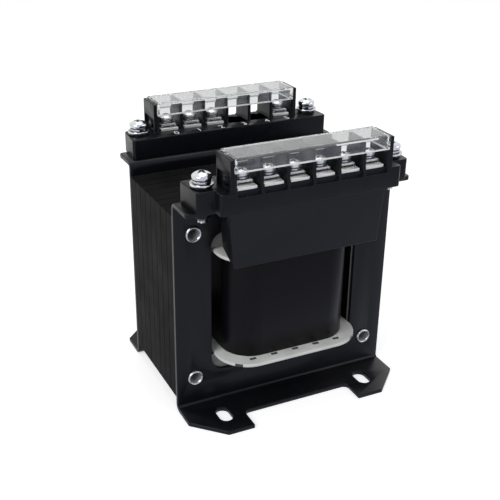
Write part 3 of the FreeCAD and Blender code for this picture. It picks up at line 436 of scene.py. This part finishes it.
def varnished_silicon_steel(colours, sizes, front):
    # Stacked sheets dipped in varnish: fine lines of uneven black gloss, bare grey sheet in front
    material, tree, shader, place = new_finish("varnished_silicon_steel", IOR=1.5,
                                               Specular_IOR_Level=0.04)
    along = add_node(tree, "ShaderNodeSeparateXYZ", {"Vector": place}).outputs["Y"]
    # Half-millimetre sheets are drawn a millimetre thick, so that they show in the render
    sheets = add_node(tree, "ShaderNodeMath", {0: along, 1: 1 / sizes.sheet_pitch},
                      operation="MULTIPLY").outputs[0]
    wave = add_node(tree, "ShaderNodeMath", {0: sheets, 1: 1.0}, operation="PINGPONG").outputs[0]
    uneven = add_node(tree, "ShaderNodeTexNoise", {"W": sheets, "Scale": 1.7, "Detail": 3.0},
                      noise_dimensions="1D").outputs["Fac"]
    runs = add_node(tree, "ShaderNodeTexNoise", {"Vector": place, "Scale": 1 / mm(9.0),
                                                 "Detail": 4.0}).outputs["Fac"]
    tone = add_node(tree, "ShaderNodeMath", {0: uneven, 1: runs}, operation="MULTIPLY")
    dark = add_node(tree, "ShaderNodeMapRange",
                    {"Value": tone.outputs[0], "From Min": 0.12, "From Max": 0.4, "To Min": 0.7,
                     "To Max": 1.5}).outputs["Result"]
    varnish = add_node(tree, "ShaderNodeVectorMath", {0: colours.varnish[:3], "Scale": dark},
                       operation="SCALE").outputs["Vector"]
    bare = add_node(tree, "ShaderNodeVectorMath",
                    {0: colours.bare_steel[:3], "Scale": spots(tree, place, 3.0, 5.0, 0.8, 1.1)},
                    operation="SCALE").outputs["Vector"]
    depth = add_node(tree, "ShaderNodeMath", {0: along}, operation="ABSOLUTE").outputs[0]
    face = add_node(tree, "ShaderNodeMath", {0: depth, 1: front - mm(SHEET_SKIN)},
                    operation="GREATER_THAN").outputs[0]
    mixed = add_node(tree, "ShaderNodeMix", {0: face, 6: varnish, 7: bare}, data_type="RGBA")
    tree.links.new(mixed.outputs[2], shader.inputs["Base Color"])
    metal = add_node(tree, "ShaderNodeMath", {0: face, 1: 0.35}, operation="MULTIPLY")
    tree.links.new(metal.outputs[0], shader.inputs["Metallic"])
    tree.links.new(spots(tree, place, 9.0, 4.0, 0.5, 0.66), shader.inputs["Roughness"])
    ridges = add_node(tree, "ShaderNodeBump", {"Height": wave, "Strength": 0.12,
                                               "Distance": mm(0.2)}).outputs["Normal"]
    rough = add_node(tree, "ShaderNodeBump", {"Height": uneven, "Strength": 0.12,
                                              "Distance": mm(0.25), "Normal": ridges})
    tree.links.new(rough.outputs["Normal"], shader.inputs["Normal"])
    return material


def rolled_steel(colours):
    # Tubular rivets of plated steel, rolled over: bright and a little brushed by the tool
    return spotted_finish("rolled_rivet_steel", colours.zinc, tone=(0.8, 4.0, 0.62, 0.9),
                          gloss=(0.5, 2.0, 0.2, 0.38), Metallic=1.0)


def dull_bore_steel(colours):
    # Inside of the rivets: rough, half-metal steel that scatters the light, its colour darkened to
    # grey as painted shade in the bore
    return spotted_finish("dull_bore_steel", colours.zinc, tone=(1.0, 4.0, 0.28, 0.44),
                          Metallic=0.3, Roughness=0.6)


def natural_nylon(colours):
    # Injection-moulded nylon without pigment: milky off-white, slightly waxy and translucent
    return spotted_finish("natural_nylon", colours.nylon, tone=(7.0, 3.0, 0.9, 1.04),
                          gloss=(2.0, 2.0, 0.4, 0.52), relief=(0.9, 2.0, 0.08, 0.05), IOR=1.53,
                          Subsurface_Weight=0.08, Subsurface_Scale=mm(0.6),
                          Specular_IOR_Level=0.4)


def pooled_varnish(colours):
    # Walls of the bobbin's small slots, painted brown-black and shiny as the shade inside them
    return spotted_finish("pooled_varnish", colours.pool, tone=(1.0, 2.0, 0.7, 1.3), IOR=1.5,
                          Roughness=0.3)


def black_film_tape(colours):
    # Black polyester film wound tight and lightly varnished: smooth, with an even, soft gloss
    material, tree, shader, place = new_finish("black_film_tape", IOR=1.5,
                                               Specular_IOR_Level=0.145)
    stretch = add_node(tree, "ShaderNodeMapping", {"Vector": place, "Scale": (1.0, 1.0, 2.5)})
    vary(tree, shader, stretch.outputs["Vector"], colours.tape, tone=(14.0, 1.0, 0.95, 1.05),
         gloss=(14.0, 1.0, 0.3, 0.34))
    return material


def moulded_black_plastic(colours):
    # Terminal blocks moulded in black phenolic: smooth, with a satin skin that blurs reflections
    # Its grain of a tenth of a millimetre is drawn at 0.35, the finest that the render can show
    return spotted_finish("moulded_black_plastic", colours.moulding, tone=(6.0, 3.0, 0.88, 1.14),
                          gloss=(3.0, 2.0, 0.27, 0.34), relief=(0.35, 2.0, 0.03, 0.03), IOR=1.5,
                          Specular_IOR_Level=0.18)


def clear_polycarbonate(colours, seat, top):
    # Clear moulded lids: see-through skirts with a whiter, less clear band along the lower edge,
    # and a top dulled to a haze
    material, tree, shader, place = new_finish("clear_polycarbonate", IOR=1.45)
    height = add_node(tree, "ShaderNodeSeparateXYZ", {"Vector": place}).outputs["Z"]
    haze = add_node(tree, "ShaderNodeMapRange",
                    {"Value": height, "From Min": top - mm(COVER_HAZE[0]),
                     "From Max": top - mm(COVER_HAZE[1])}).outputs["Result"]
    tint = add_node(tree, "ShaderNodeMix", {0: haze, 6: colours.cover, 7: colours.cover_top},
                    data_type="RGBA").outputs[2]
    tree.links.new(tint, shader.inputs["Base Color"])
    on_top = add_node(tree, "ShaderNodeMapRange",
                      {"Value": haze, "To Min": COVER_CLEARNESS[0],
                       "To Max": COVER_CLEARNESS[1]}).outputs["Result"]
    on_edge = add_node(tree, "ShaderNodeMapRange",
                       {"Value": height, "From Min": seat + mm(COVER_EDGE[0]),
                        "From Max": seat + mm(COVER_EDGE[1]),
                        "To Min": EDGE_CLEARNESS}).outputs["Result"]
    streaks = add_node(tree, "ShaderNodeMapping", {"Vector": place, "Scale": (0.2, 1.0, 1.0)})
    grain = spots(tree, streaks.outputs["Vector"], 1.6, 3.0, 0.95, 1.03)
    clear = add_node(tree, "ShaderNodeMath", {0: on_top, 1: grain}, operation="MULTIPLY",
                     use_clamp=True).outputs[0]
    amount = add_node(tree, "ShaderNodeMath", {0: clear, 1: on_edge}, operation="MULTIPLY")
    tree.links.new(amount.outputs[0], shader.inputs["Transmission Weight"])
    tree.links.new(spots(tree, place, 4.0, 2.0, 0.01, 0.03), shader.inputs["Roughness"])
    return material


def zinc_plating(colours, name, metal, gloss):
    # Steel fasteners electroplated with zinc: bright or cloudy, with painted shade that darkens
    # every crease
    material, tree, shader, place = new_finish(name, Metallic=metal)
    toned = vary(tree, shader, place, colours.zinc, tone=(1.2, 4.0, 0.86, 1.04),
                 gloss=(0.6, 3.0, gloss, gloss + GLOSS_SPREAD), relief=(0.4, 2.0, 0.08, 0.03))
    # Painted shade: the zinc's colour is darkened wherever the occlusion node finds a crease
    occlusion = add_node(tree, "ShaderNodeAmbientOcclusion",
                      {"Distance": mm(PAINTED_SHADE_REACH)}).outputs["AO"]
    crease = add_node(tree, "ShaderNodeMapRange",
                      {"Value": occlusion, "From Min": 0.4, "From Max": 0.92,
                       "To Min": 0.12}).outputs["Result"]
    crease_shaded_colour = add_node(tree, "ShaderNodeVectorMath", {0: toned, "Scale": crease},
                     operation="SCALE").outputs["Vector"]
    tree.links.new(crease_shaded_colour, shader.inputs["Base Color"])
    return material


def plated_brass(colours):
    # Terminal plates stamped from brass and nickel plated: a soft shine with drawing marks
    material, tree, shader, place = new_finish("nickel_plated_brass", Metallic=0.5)
    marks = add_node(tree, "ShaderNodeMapping", {"Vector": place, "Scale": (0.15, 1.0, 1.0)})
    vary(tree, shader, marks.outputs["Vector"], colours.nickel, tone=(0.25, 3.0, 0.86, 1.05),
         gloss=(0.25, 3.0, 0.3, 0.44), relief=(0.25, 3.0, 0.1, 0.03))
    return material


def enamelled_copper(colours):
    # Layers of enamelled wire: warm glossy copper, its turns drawn 0.8 mm apart so that they show
    material, tree, shader, place = new_finish("enamelled_copper", Metallic=0.85,
                                               Roughness=0.25, Coat_Weight=0.5)
    vary(tree, shader, place, colours.copper, tone=(4.0, 2.0, 0.85, 1.1))
    height = add_node(tree, "ShaderNodeSeparateXYZ", {"Vector": place}).outputs["Z"]
    turns = add_node(tree, "ShaderNodeMath", {0: height, 1: 1 / mm(TURN_PITCH)},
                     operation="MULTIPLY").outputs[0]
    round_wire = add_node(tree, "ShaderNodeMath", {0: turns, 1: 0.5},
                          operation="PINGPONG").outputs[0]
    bump = add_node(tree, "ShaderNodeBump", {"Height": round_wire, "Strength": 0.8,
                                             "Distance": mm(0.3)})
    tree.links.new(bump.outputs["Normal"], shader.inputs["Normal"])
    return material


def barrier_film(colours):
    # Amber polyester film between the windings: thin, glossy and slightly wrinkled
    return spotted_finish("amber_barrier_film", colours.film, tone=(6.0, 2.0, 0.85, 1.1),
                          relief=(3.0, 2.0, 0.15, 0.2), IOR=1.6, Roughness=0.2)


def woven_sleeve(colours):
    # Braided glass sleeving in varnish: matt black, its weave drawn 0.4 mm wide so that it shows
    material, tree, shader, place = new_finish("woven_sleeve", IOR=1.45, Roughness=0.6)
    weave = add_node(tree, "ShaderNodeTexWave",
                     {"Vector": place, "Scale": 1 / mm(WEAVE_PITCH) / WAVE_BANDS,
                      "Distortion": 0.6}, bands_direction="DIAGONAL").outputs["Fac"]
    tone = add_node(tree, "ShaderNodeMapRange",
                    {"Value": weave, "From Min": PATTERN_RANGE[0], "From Max": PATTERN_RANGE[1],
                     "To Min": 0.75, "To Max": 1.25}).outputs["Result"]
    toned = add_node(tree, "ShaderNodeVectorMath", {0: colours.sleeve[:3], "Scale": tone},
                     operation="SCALE").outputs["Vector"]
    tree.links.new(toned, shader.inputs["Base Color"])
    bump = add_node(tree, "ShaderNodeBump", {"Height": weave, "Strength": 0.3,
                                             "Distance": mm(0.08)})
    tree.links.new(bump.outputs["Normal"], shader.inputs["Normal"])
    return material


def white_ink(colours):
    # Pad-printed ink: a thin matt white film, a little uneven where it was pressed on
    return spotted_finish("white_ink", colours.ink, tone=(0.6, 2.0, 0.78, 1.0), IOR=1.45,
                          Roughness=0.55)


# Pieces

class DressPiece:
    """What the operators share."""
    bl_options = {"REGISTER", "UNDO"}

    @property
    def sizes(self):
        return bpy.context.scene.transformer_sizes

    @property
    def colours(self):
        return bpy.context.scene.transformer_colours

    @property
    def stage(self):
        return bpy.context.scene.transformer_stage


class TRANSFORMER_OT_core(DressPiece, bpy.types.Operator):
    """Give the two lamination stacks their varnish and sheet lines"""
    bl_idname = "transformer.core"
    bl_label = "Core"

    def execute(self, context):
        front = -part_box("core_e_stack")[0].y
        steel = varnished_silicon_steel(self.colours, self.sizes, front)
        for node in ("core_e_stack", "core_i_stack"):
            finish_node(node, steel)
        return {"FINISHED"}


class TRANSFORMER_OT_frames(DressPiece, bpy.types.Operator):
    """Stand softened, painted copies in the pressed frames' place"""
    bl_idname = "transformer.frames"
    bl_label = "Frames"

    def execute(self, context):
        paint = semi_gloss_black_paint(self.colours)
        for node in ("front_frame", "rear_frame"):
            dress(node, self.sizes.sheet_edge, paint)
        return {"FINISHED"}


class TRANSFORMER_OT_rivets(DressPiece, bpy.types.Operator):
    """Turn the four tubular rivets with rolled heads"""
    bl_idname = "transformer.rivets"
    bl_label = "Rivets"

    def execute(self, context):
        steel, bore_shade, sizes = rolled_steel(self.colours), dull_bore_steel(self.colours), self.sizes
        bore, shank = in_mm(sizes.rivet_bore) / 2, in_mm(sizes.rivet_shank) / 2
        for node in sorted(name for name in NODES if name.endswith("_rivet")):
            low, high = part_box(node)
            middle, end = (low + high) / 2, in_mm(high.y)
            head = in_mm(high.x - low.x) / 2
            lip, mouth = end - in_mm(sizes.rivet_rise), end - in_mm(sizes.rivet_funnel)
            wall = head - bore
            side = [(bore, 0), (bore, mouth),
                    (bore + RIVET_THROAT[0] * wall, mouth + RIVET_THROAT[1])]
            side += [(bore + share * wall, end - depth) for share, depth in RIVET_MOUTH]
            side += [(head - RIVET_RIM[0], end - RIVET_RIM[1]), (head, lip + RIVET_LIP[1]),
                     (head - RIVET_LIP[0], lip), (shank, lip), (shank, 0)]
            other = [(radius, -height) for radius, height in reversed(side[:-1])]
            bm = bmesh.new()
            turn(bm, side + other[1:], RIVET_STEPS, closed=True)
            place = Matrix.Translation((middle.x, 0, middle.z)) @ Matrix.Rotation(
                math.pi / 2, 4, "X")
            bmesh.ops.transform(bm, matrix=place, verts=bm.verts)
            piece = show(node + "_rolled", bm, steel, node)
            # Faces within the bore take the painted shade
            reach = mm(bore + RIVET_MOUTH[0][0] * wall)
            second_finish(piece, bore_shade, lambda face: math.hypot(
                face.center.x - middle.x, face.center.z - middle.z) < reach)
            smooth(piece)
        return {"FINISHED"}


class TRANSFORMER_OT_coil(DressPiece, bpy.types.Operator):
    """Dress the bobbin and the taped coil, and finish the layers inside"""
    bl_idname = "transformer.coil"
    bl_label = "Bobbin and coil"

    def execute(self, context):
        bobbin = dress("bobbin", self.sizes.flange_edge, natural_nylon(self.colours))
        low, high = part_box("bobbin")
        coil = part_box("outer_tape")
        # The walls of the slots in the bobbin's lower flange get the painted shade
        second_finish(bobbin, pooled_varnish(self.colours), lambda face: (
            low.z < face.center.z < coil[0].z and abs(face.normal.z) < WALL_RISE
            and coil[1].y < abs(face.center.y) < high.y - mm(FLANGE_RIM)
            and abs(face.center.x) < coil[1].x))
        dress("outer_tape", self.sizes.metal_edge, black_film_tape(self.colours))
        copper = enamelled_copper(self.colours)
        finish_node("primary_winding", copper)
        finish_node("secondary_winding", copper)
        finish_node("winding_barrier", barrier_film(self.colours))
        return {"FINISHED"}


class TRANSFORMER_OT_blocks(DressPiece, bpy.types.Operator):
    """Dress the two moulded terminal blocks"""
    bl_idname = "transformer.blocks"
    bl_label = "Terminal blocks"

    def execute(self, context):
        plastic = moulded_black_plastic(self.colours)
        for node in ("front_terminal_block", "rear_terminal_block"):
            dress(node, self.sizes.moulded_edge, plastic)
        return {"FINISHED"}


class TRANSFORMER_OT_covers(DressPiece, bpy.types.Operator):
    """Finish the two clear covers"""
    bl_idname = "transformer.covers"
    bl_label = "Clear covers"

    def execute(self, context):
        low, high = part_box("front_cover")
        clear = clear_polycarbonate(self.colours, low.z, high.z)
        for node in ("front_cover", "rear_cover"):
            piece = show(node + "_clear", merged_copy(node), clear, node)
            # The clear plastic lets the lamps through to the terminals
            piece.visible_shadow = False
        return {"FINISHED"}


class TRANSFORMER_OT_terminals(DressPiece, bpy.types.Operator):
    """Dress the terminal plates and their clamp washers"""
    bl_idname = "transformer.terminals"
    bl_label = "Terminals"

    def execute(self, context):
        nickel = plated_brass(self.colours)
        for node in sorted(name for name in NODES if "_terminal_" in name):
            if node.rsplit("_", 1)[1].isdigit():
                dress(node, self.sizes.metal_edge, nickel)
        bright = zinc_plating(self.colours, "bright_zinc_washers", *BRIGHT_PLATING)
        cloudy = zinc_plating(self.colours, "cloudy_zinc_washers", *CLOUDY_PLATING)
        for node, zinc in (("front_clamp_washers", cloudy), ("rear_clamp_washers", cloudy),
                           ("block_flat_washers", bright)):
            dress(node, self.sizes.metal_edge, zinc)
        return {"FINISHED"}


def solid_places(node):
    """Middle, lowest and highest point and width of each separate solid of a node."""
    bm = merged_copy(node)
    places = []
    left = set(bm.verts)
    while left:
        found = {left.pop()}
        edge = list(found)
        while edge:
            vert = edge.pop()
            for link in vert.link_edges:
                other = link.other_vert(vert)
                if other in left:
                    left.remove(other)
                    found.add(other)
                    edge.append(other)
        xs, ys, zs = zip(*(vert.co for vert in found))
        places.append(((min(xs) + max(xs)) / 2, (min(ys) + max(ys)) / 2, min(zs), max(zs),
                       max(xs) - min(xs)))
    bm.free()
    return sorted(places)


def cross_head(radius, height):
    """A domed pan head with a cross recess, standing on Z = 0."""
    crown, edge = height * CROWN_SHARE, height * EDGE_SHARE
    sweep = (radius * radius + crown * crown) / (2 * crown)
    dome = []
    for step in range(DOME_STEPS + 1):
        across = radius * DOME_REACH * step / DOME_STEPS
        dome.append((across, height - sweep + math.sqrt(sweep * sweep - across * across)))
    foot = [(radius * share, edge * rise) for share, rise in HEAD_FOOT]
    head = bmesh.new()
    turn(head, dome + [(radius, height - crown - edge * SHOULDER_DROP)] + foot + [(0, 0)],
         HEAD_STEPS)
    cutters = []
    for quarter in (0, math.pi / 2):
        cutter = bmesh.new()
        bmesh.ops.create_cube(cutter, size=mm(1))
        low = [vert for vert in cutter.verts if vert.co.z < 0]
        bmesh.ops.scale(cutter, vec=RECESS_TAPER, verts=low)
        bmesh.ops.scale(cutter, vec=(radius * RECESS_SIZE[0], radius * RECESS_SIZE[1], height),
                        verts=cutter.verts)
        bmesh.ops.rotate(cutter, cent=(0, 0, 0), matrix=Matrix.Rotation(quarter, 3, "Z"),
                         verts=cutter.verts)
        bmesh.ops.translate(cutter, vec=(0, 0, mm(height * RECESS_LEVEL)), verts=cutter.verts)
        cutters.append(cutter)
    return boolean_mesh(head, cutters)


def split_ring(inner, outer, height):
    """A spring washer: a square section wound once, with an open cut."""
    ring = bmesh.new()
    section = height * RING_SECTION
    verts = [ring.verts.new((mm(radius), 0, mm(level))) for radius, level in
             ((inner, 0), (outer, 0), (outer, section), (inner, section))]
    face = ring.faces.new(verts)
    bmesh.ops.spin(ring, geom=[face] + list(face.edges) + verts, cent=(0, 0, 0), axis=(0, 0, 1),
                   dvec=(0, 0, mm(height - section) / RING_STEPS),
                   angle=FULL_TURN - RING_CUT, steps=RING_STEPS)
    bmesh.ops.remove_doubles(ring, verts=ring.verts, dist=MERGE_DISTANCE)
    bmesh.ops.recalc_face_normals(ring, faces=ring.faces)
    return ring


def threaded_shank(radius, length, pitch, depth):
    """A shank that hangs from Z = 0, ringed at its thread's pitch, with a chamfered end."""
    shank = bmesh.new()
    profile = [(0, 0), (radius, 0)]
    level = -pitch
    while level > -(length - pitch):
        profile += [(radius, level), (radius - depth, level - pitch / 2)]
        level -= pitch
    profile += [(radius, level), (radius, -(length - depth)), (radius - depth, -length),
                (0, -length)]
    turn(shank, profile, SHANK_STEPS)
    return shank


def fine_screws(node, zinc, sizes, kind):
    """Stand detailed screws in the place of a node's plain ones."""
    shank, pitch, head_height, ring, ring_height = [
        in_mm(getattr(sizes, kind + name))
        for name in ("_shank", "_pitch", "_head", "_ring", "_ring_rise")]
    places = solid_places(node)
    low, high, head = places[0][2:]
    length = in_mm(high - low) - head_height - ring_height
    neck = bmesh.new()
    turn(neck, [(0, 0), (shank / 2, 0), (shank / 2, ring_height), (0, ring_height)], SHANK_STEPS)
    parts = [(cross_head(in_mm(head) / 2, head_height), ring_height),
             (split_ring(shank / 2 + SHANK_GAP, ring / 2, ring_height), 0.0),
             (threaded_shank(shank / 2, length, pitch, in_mm(sizes.thread_depth)), 0.0),
             (neck, 0.0)]
    bm = bmesh.new()
    for index, (across, along, tip, *_) in enumerate(places):
        seat = Matrix.Translation((across, along, tip + mm(length)))
        turned = Matrix.Rotation(SCREW_TURNS[index % len(SCREW_TURNS)], 4, "Z")
        for part, lift in parts:
            join(bm, part, seat @ Matrix.Translation((0, 0, mm(lift))) @ turned)
    for part, _ in parts:
        part.free()
    piece = show(node + "_fine", bm, zinc, node)
    soften(piece, sizes.screw_edge)


class TRANSFORMER_OT_terminal_screws(DressPiece, bpy.types.Operator):
    """Model the terminal screws with cross recesses and split spring washers"""
    bl_idname = "transformer.terminal_screws"
    bl_label = "Terminal screws"

    def execute(self, context):
        zinc = zinc_plating(self.colours, "cloudy_zinc_screws", *CLOUDY_PLATING)
        for node in ("front_terminal_screws", "rear_terminal_screws"):
            fine_screws(node, zinc, self.sizes, "clamp")
        return {"FINISHED"}


class TRANSFORMER_OT_block_screws(DressPiece, bpy.types.Operator):
    """Model the block screws with cross recesses and split spring washers"""
    bl_idname = "transformer.block_screws"
    bl_label = "Block screws"

    def execute(self, context):
        zinc = zinc_plating(self.colours, "bright_zinc_screws", *BRIGHT_PLATING)
        fine_screws("block_screws", zinc, self.sizes, "fixing")
        return {"FINISHED"}


class TRANSFORMER_OT_leads(DressPiece, bpy.types.Operator):
    """Dress the sleeved leads between the coil and the terminals"""
    bl_idname = "transformer.leads"
    bl_label = "Leads"

    def execute(self, context):
        sleeve = woven_sleeve(self.colours)
        for node in sorted(name for name in NODES if "_lead_" in name):
            piece = show(node + "_sleeved", merged_copy(node), sleeve, node)
            smooth(piece, LEAD_ANGLE)
        return {"FINISHED"}


class TRANSFORMER_OT_numerals(DressPiece, bpy.types.Operator):
    """Print the way numbers on the rear block"""
    bl_idname = "transformer.numerals"
    bl_label = "Numerals"

    def execute(self, context):
        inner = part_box("rear_terminal_block")[0].y
        along = inner + self.sizes.numeral_line
        strip = max(vertex.co.z for vertex in NODES["rear_terminal_block"].data.vertices
                    if vertex.co.y < along)
        bm = bmesh.new()
        for index, across in enumerate(NUMERAL_PLACES):
            curve = bpy.data.curves.new("numeral", "FONT")
            curve.body = str(index)
            curve.size = self.sizes.numeral_size
            curve.align_x, curve.align_y = "CENTER", "CENTER"
            curve.extrude = self.sizes.numeral_film / 2
            text = bpy.data.objects.new("numeral", curve)
            bpy.context.scene.collection.objects.link(text)
            bpy.context.view_layer.update()
            mesh = bpy.data.meshes.new_from_object(text)
            mesh.transform(Matrix.Translation(
                (mm(across), along, strip + self.sizes.numeral_film / 2))
                @ Matrix.Diagonal((NUMERAL_NARROWING, 1, 1, 1)))
            bm.from_mesh(mesh)
            bpy.data.objects.remove(text)
        bmesh.ops.remove_doubles(bm, verts=bm.verts, dist=MERGE_DISTANCE)
        bmesh.ops.recalc_face_normals(bm, faces=bm.faces)
        piece = show("rear_numerals", bm, white_ink(self.colours))
        return {"FINISHED"}


class TRANSFORMER_OT_stage(DressPiece, bpy.types.Operator):
    """Set up the floor, the room, the lights and the camera"""
    bl_idname = "transformer.stage"
    bl_label = "Stage"

    def execute(self, context):
        self.floor()
        self.room()
        self.lights()
        self.camera()
        bpy.context.scene.view_settings.view_transform = "Standard"
        return {"FINISHED"}

    def floor(self):
        bm = bmesh.new()
        bmesh.ops.create_circle(bm, cap_ends=True, radius=FLOOR_RADIUS, segments=FLOOR_STEPS)
        bmesh.ops.translate(bm, vec=(0, 0, -FLOOR_DROP), verts=bm.verts)
        mesh = bpy.data.meshes.new("floor")
        bm.to_mesh(mesh)
        bm.free()
        mesh.materials.append(self.board())
        floor = bpy.data.objects.new("floor", mesh)
        bpy.context.scene.collection.objects.link(floor)

    def board(self):
        # Matt white board, bright in the picture, and mirrored dimmer in front than behind
        material = bpy.data.materials.new("matt_white_board")
        material.use_nodes = True
        tree = material.node_tree
        tree.nodes.clear()
        direct, mirror = self.seen_by(tree)
        strength = add_node(tree, "ShaderNodeMath", {0: direct, 1: self.stage.floor_glow},
                            operation="MULTIPLY").outputs[0]
        board = add_node(tree, "ShaderNodeBsdfDiffuse", {"Color": self.colours.floor})
        glow = add_node(tree, "ShaderNodeEmission", {"Strength": strength})
        both = add_node(tree, "ShaderNodeAddShader", {0: board.outputs[0], 1: glow.outputs[0]})
        place = add_node(tree, "ShaderNodeNewGeometry").outputs["Position"]
        along = add_node(tree, "ShaderNodeSeparateXYZ", {"Vector": place}).outputs["Y"]
        mirrored = add_node(tree, "ShaderNodeEmission", {
            "Color": self.front_to_back(tree, along, *FLOOR_CHANGE)})
        seen = add_node(tree, "ShaderNodeMixShader", {0: mirror, 1: both.outputs[0],
                                                      2: mirrored.outputs[0]})
        add_node(tree, "ShaderNodeOutputMaterial", {"Surface": seen.outputs[0]})
        return material

    @staticmethod
    def seen_by(tree):
        """One or zero for what is seen straight or through the covers, and for a reflection."""
        path = add_node(tree, "ShaderNodeLightPath")
        direct = add_node(tree, "ShaderNodeMath", {0: path.outputs["Is Camera Ray"],
                                                   1: path.outputs["Is Transmission Ray"]},
                          operation="MAXIMUM").outputs[0]
        return direct, path.outputs["Is Glossy Ray"]

    def front_to_back(self, tree, along, low, high):
        """A mirrored light that is cool and dim in front, and white behind."""
        behind = add_node(tree, "ShaderNodeMapRange",
                          {"Value": along, "From Min": low, "From Max": high}).outputs["Result"]
        return add_node(tree, "ShaderNodeMix", {0: behind, 6: self.stage.front_light,
                                                7: self.stage.back_light},
                        data_type="RGBA").outputs[2]

    def room(self):
        """A white room, as bright as paper to the camera and dimmer as a light."""
        world = bpy.data.worlds.new("white_room")
        bpy.context.scene.world = world
        world.use_nodes = True
        tree = world.node_tree
        direct, mirror = self.seen_by(tree)
        plain = add_node(tree, "ShaderNodeMix", {0: direct, 2: self.stage.ambient,
                                                 3: 1.0}).outputs[0]
        direction = add_node(tree, "ShaderNodeTexCoord").outputs["Generated"]
        along = add_node(tree, "ShaderNodeSeparateXYZ", {"Vector": direction}).outputs["Y"]
        light = add_node(tree, "ShaderNodeMix", {
            0: mirror, 6: plain, 7: self.front_to_back(tree, along, *ROOM_CHANGE)},
            data_type="RGBA").outputs[2]
        tree.links.new(light, tree.nodes["Background"].inputs["Color"])

    def lights(self):
        for name, power, size, place in LAMPS:
            lamp = bpy.data.lights.new(name, "AREA")
            lamp.energy = getattr(self.stage, power)
            lamp.size = size
            light = bpy.data.objects.new(name, lamp)
            light.location = place
            aim = Vector(LAMP_TARGET) - Vector(place)
            light.rotation_euler = aim.to_track_quat("-Z", "Y").to_euler()
            bpy.context.scene.collection.objects.link(light)

    def camera(self):
        stage = self.stage
        turn_about, rise = stage.azimuth, stage.elevation
        back = Vector((math.sin(turn_about) * math.cos(rise),
                       -math.cos(turn_about) * math.cos(rise), math.sin(rise)))
        right = (-back).cross(Vector((0, 0, 1))).normalized()
        up = right.cross(-back)
        across = math.cos(stage.roll) * right + math.sin(stage.roll) * up
        upward = -math.sin(stage.roll) * right + math.cos(stage.roll) * up
        data = bpy.data.cameras.new("camera")
        data.lens = stage.lens
        data.shift_x, data.shift_y = stage.shift
        data.clip_start, data.clip_end = VIEW_DEPTH
        camera = bpy.data.objects.new("camera", data)
        place = Vector(stage.target) + back * stage.distance
        camera.matrix_world = Matrix.Translation(place) @ Matrix(
            (across, upward, back)).transposed().to_4x4()
        bpy.context.scene.collection.objects.link(camera)
        bpy.context.scene.camera = camera


class TRANSFORMER_PT_panel(bpy.types.Panel):
    """Lists the transformer's pieces, sizes and colours"""
    bl_idname = "TRANSFORMER_PT_panel"
    bl_label = "Chassis transformer"
    bl_space_type = "VIEW_3D"
    bl_region_type = "UI"
    bl_category = "Transformer"

    def draw(self, context):
        for operator in OPERATORS:
            self.layout.operator(operator.bl_idname)
        for group in ("transformer_sizes", "transformer_colours", "transformer_stage"):
            settings = getattr(context.scene, group)
            column = self.layout.column()
            for name in settings.bl_rna.properties.keys():
                if name not in ("rna_type", "name"):
                    column.prop(settings, name)


GROUPS = (TransformerSizes, TransformerColours, TransformerStage)
OPERATORS = (TRANSFORMER_OT_core, TRANSFORMER_OT_frames, TRANSFORMER_OT_rivets,
             TRANSFORMER_OT_coil, TRANSFORMER_OT_blocks, TRANSFORMER_OT_covers,
             TRANSFORMER_OT_terminals, TRANSFORMER_OT_terminal_screws,
             TRANSFORMER_OT_block_screws, TRANSFORMER_OT_leads, TRANSFORMER_OT_numerals,
             TRANSFORMER_OT_stage)


def register():
    for entry in GROUPS + OPERATORS + (TRANSFORMER_PT_panel,):
        bpy.utils.register_class(entry)
    bpy.types.Scene.transformer_sizes = bpy.props.PointerProperty(type=TransformerSizes)
    bpy.types.Scene.transformer_colours = bpy.props.PointerProperty(type=TransformerColours)
    bpy.types.Scene.transformer_stage = bpy.props.PointerProperty(type=TransformerStage)


def unregister():
    del bpy.types.Scene.transformer_stage
    del bpy.types.Scene.transformer_colours
    del bpy.types.Scene.transformer_sizes
    for entry in reversed(GROUPS + OPERATORS + (TRANSFORMER_PT_panel,)):
        bpy.utils.unregister_class(entry)


def main():
    """Dress the transformer and set the stage."""
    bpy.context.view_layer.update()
    register()
    for operator in OPERATORS:
        name = operator.bl_idname.split(".")[1]
        getattr(bpy.ops.transformer, name)()


if __name__ == "__main__":
    main()
